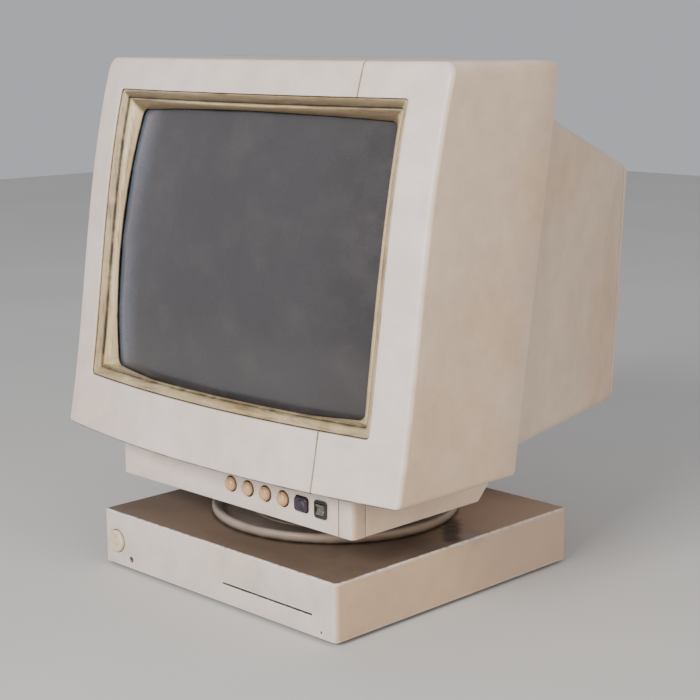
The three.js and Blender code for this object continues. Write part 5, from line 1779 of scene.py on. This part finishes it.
class MONITOR_OT_camera(Operator):
    """Camera, a little above the monitor and off its front right corner"""

    bl_idname = "monitor.camera"
    bl_label = "Camera"

    def execute(self, context):
        azimuth, elevation, roll = (math.radians(degrees) for degrees in (44.91, 11.17, -0.22))
        across, away = math.sin(azimuth), -math.cos(azimuth)
        level_share = math.cos(elevation)
        back = Vector((across * level_share, away * level_share, math.sin(elevation)))
        right = Vector((-away, across, 0))
        up = back.cross(right)
        turned_right = right * math.cos(roll) + up * math.sin(roll)
        turned_up = up * math.cos(roll) - right * math.sin(roll)
        lens = bpy.data.cameras.new("camera")
        lens.lens = 82.83
        lens.sensor_width = 36
        lens.clip_start = 0.01
        camera = bpy.data.objects.new("camera", lens)
        basis = Matrix((turned_right, turned_up, back)).transposed()
        place = Matrix.Translation((0.8370, AXIS_Y - 0.8232, 0.3967))
        camera.matrix_world = place @ basis.to_4x4()
        context.scene.collection.objects.link(camera)
        context.scene.camera = camera
        return {"FINISHED"}


class MONITOR_OT_stage(Operator):
    """Floor and studio lights"""

    bl_idname = "monitor.stage"
    bl_label = "Stage"

    def execute(self, context):
        settings = context.scene.monitor_stage
        reach = 3.0
        corners = [(-reach, -reach, 0), (reach, -reach, 0), (reach, reach, 0), (-reach, reach, 0)]
        floor_mesh = mesh_of(corners, [(0, 1, 2, 3)], "floor")
        material, tree, surface = new_material("floor_paint")
        soft = tree.spread(tree.noise(tree.place(), 3.0, 4.0), 0.3, 0.7, 0.97, 1.02)
        tree.feed(surface["Base Color"], tree.mix(1.0, settings.floor, soft, "MULTIPLY"))
        surface["Roughness"].default_value = 0.8
        floor_mesh.materials.append(material)
        floor = bpy.data.objects.new("floor", floor_mesh)
        context.scene.collection.objects.link(floor)

        self.light("key", (0.5, -2.3, 1.25), (0, -0.1, 0.2), 1.0, settings.key, (1.0, 0.98, 0.965))
        self.light("fill", (2.2, -0.4, 0.9), (0, -0.05, 0.2), 1.2, settings.fill, (1.0, 0.9, 0.81))
        world = context.scene.world or bpy.data.worlds.new("world")
        context.scene.world = world
        world.use_nodes = True
        background = world.node_tree.nodes["Background"]
        background.inputs["Color"].default_value = (0.92, 0.94, 1.0, 1)
        background.inputs["Strength"].default_value = settings.sky
        return {"FINISHED"}

    def light(self, name, place, target, size, power, tint):
        """A square lamp of some size, aimed at a target."""
        lamp = bpy.data.lights.new(name, "AREA")
        lamp.shape = "SQUARE"
        lamp.size = size
        lamp.energy = power
        lamp.color = tint
        made = bpy.data.objects.new(name, lamp)
        made.location = place
        aim = Vector(target) - Vector(place)
        made.rotation_euler = aim.to_track_quat("-Z", "Y").to_euler()
        bpy.context.scene.collection.objects.link(made)


# ---------------------------------------------------------------- panel and registration

OPERATORS = (
    MONITOR_OT_camera,
    MONITOR_OT_front_housing,
    MONITOR_OT_screen_surround,
    MONITOR_OT_picture_tube,
    MONITOR_OT_rear_cover,
    MONITOR_OT_lower_housing,
    MONITOR_OT_control_strip,
    MONITOR_OT_knobs,
    MONITOR_OT_mode_button,
    MONITOR_OT_rocker,
    MONITOR_OT_swivel_dish,
    MONITOR_OT_tilt_axle,
    MONITOR_OT_base_cover,
    MONITOR_OT_base_button,
    MONITOR_OT_feet,
    MONITOR_OT_screws,
    MONITOR_OT_inner_parts,
    MONITOR_OT_stage,
)


class MONITOR_PT_parts(Panel):
    """Lists the monitor's sizes, colours and pieces"""

    bl_idname = "MONITOR_PT_parts"
    bl_label = "Tube monitor"
    bl_space_type = "VIEW_3D"
    bl_region_type = "UI"
    bl_category = "Monitor"

    def draw(self, context):
        scene = context.scene
        for group in (scene.monitor_head, scene.monitor_tube, scene.monitor_colours, scene.monitor_stage):
            box = self.layout.box()
            for name in group.bl_rna.properties.keys():
                if name not in ("rna_type", "name"):
                    box.prop(group, name)
        for kind in OPERATORS:
            self.layout.operator(kind.bl_idname)


GROUPS = {
    "monitor_head": HeadSizes,
    "monitor_tube": TubeSizes,
    "monitor_colours": CasingColours,
    "monitor_stage": StageSettings,
}


def register():
    for kind in (*GROUPS.values(), *OPERATORS, MONITOR_PT_parts):
        bpy.utils.register_class(kind)
    for name, kind in GROUPS.items():
        setattr(bpy.types.Scene, name, PointerProperty(type=kind))


def unregister():
    for name in GROUPS:
        delattr(bpy.types.Scene, name)
    for kind in reversed((*GROUPS.values(), *OPERATORS, MONITOR_PT_parts)):
        bpy.utils.unregister_class(kind)


def main():
    register()
    for kind in OPERATORS:
        family, name = kind.bl_idname.split(".")
        getattr(getattr(bpy.ops, family), name)()


if __name__ == "__main__":
    main()
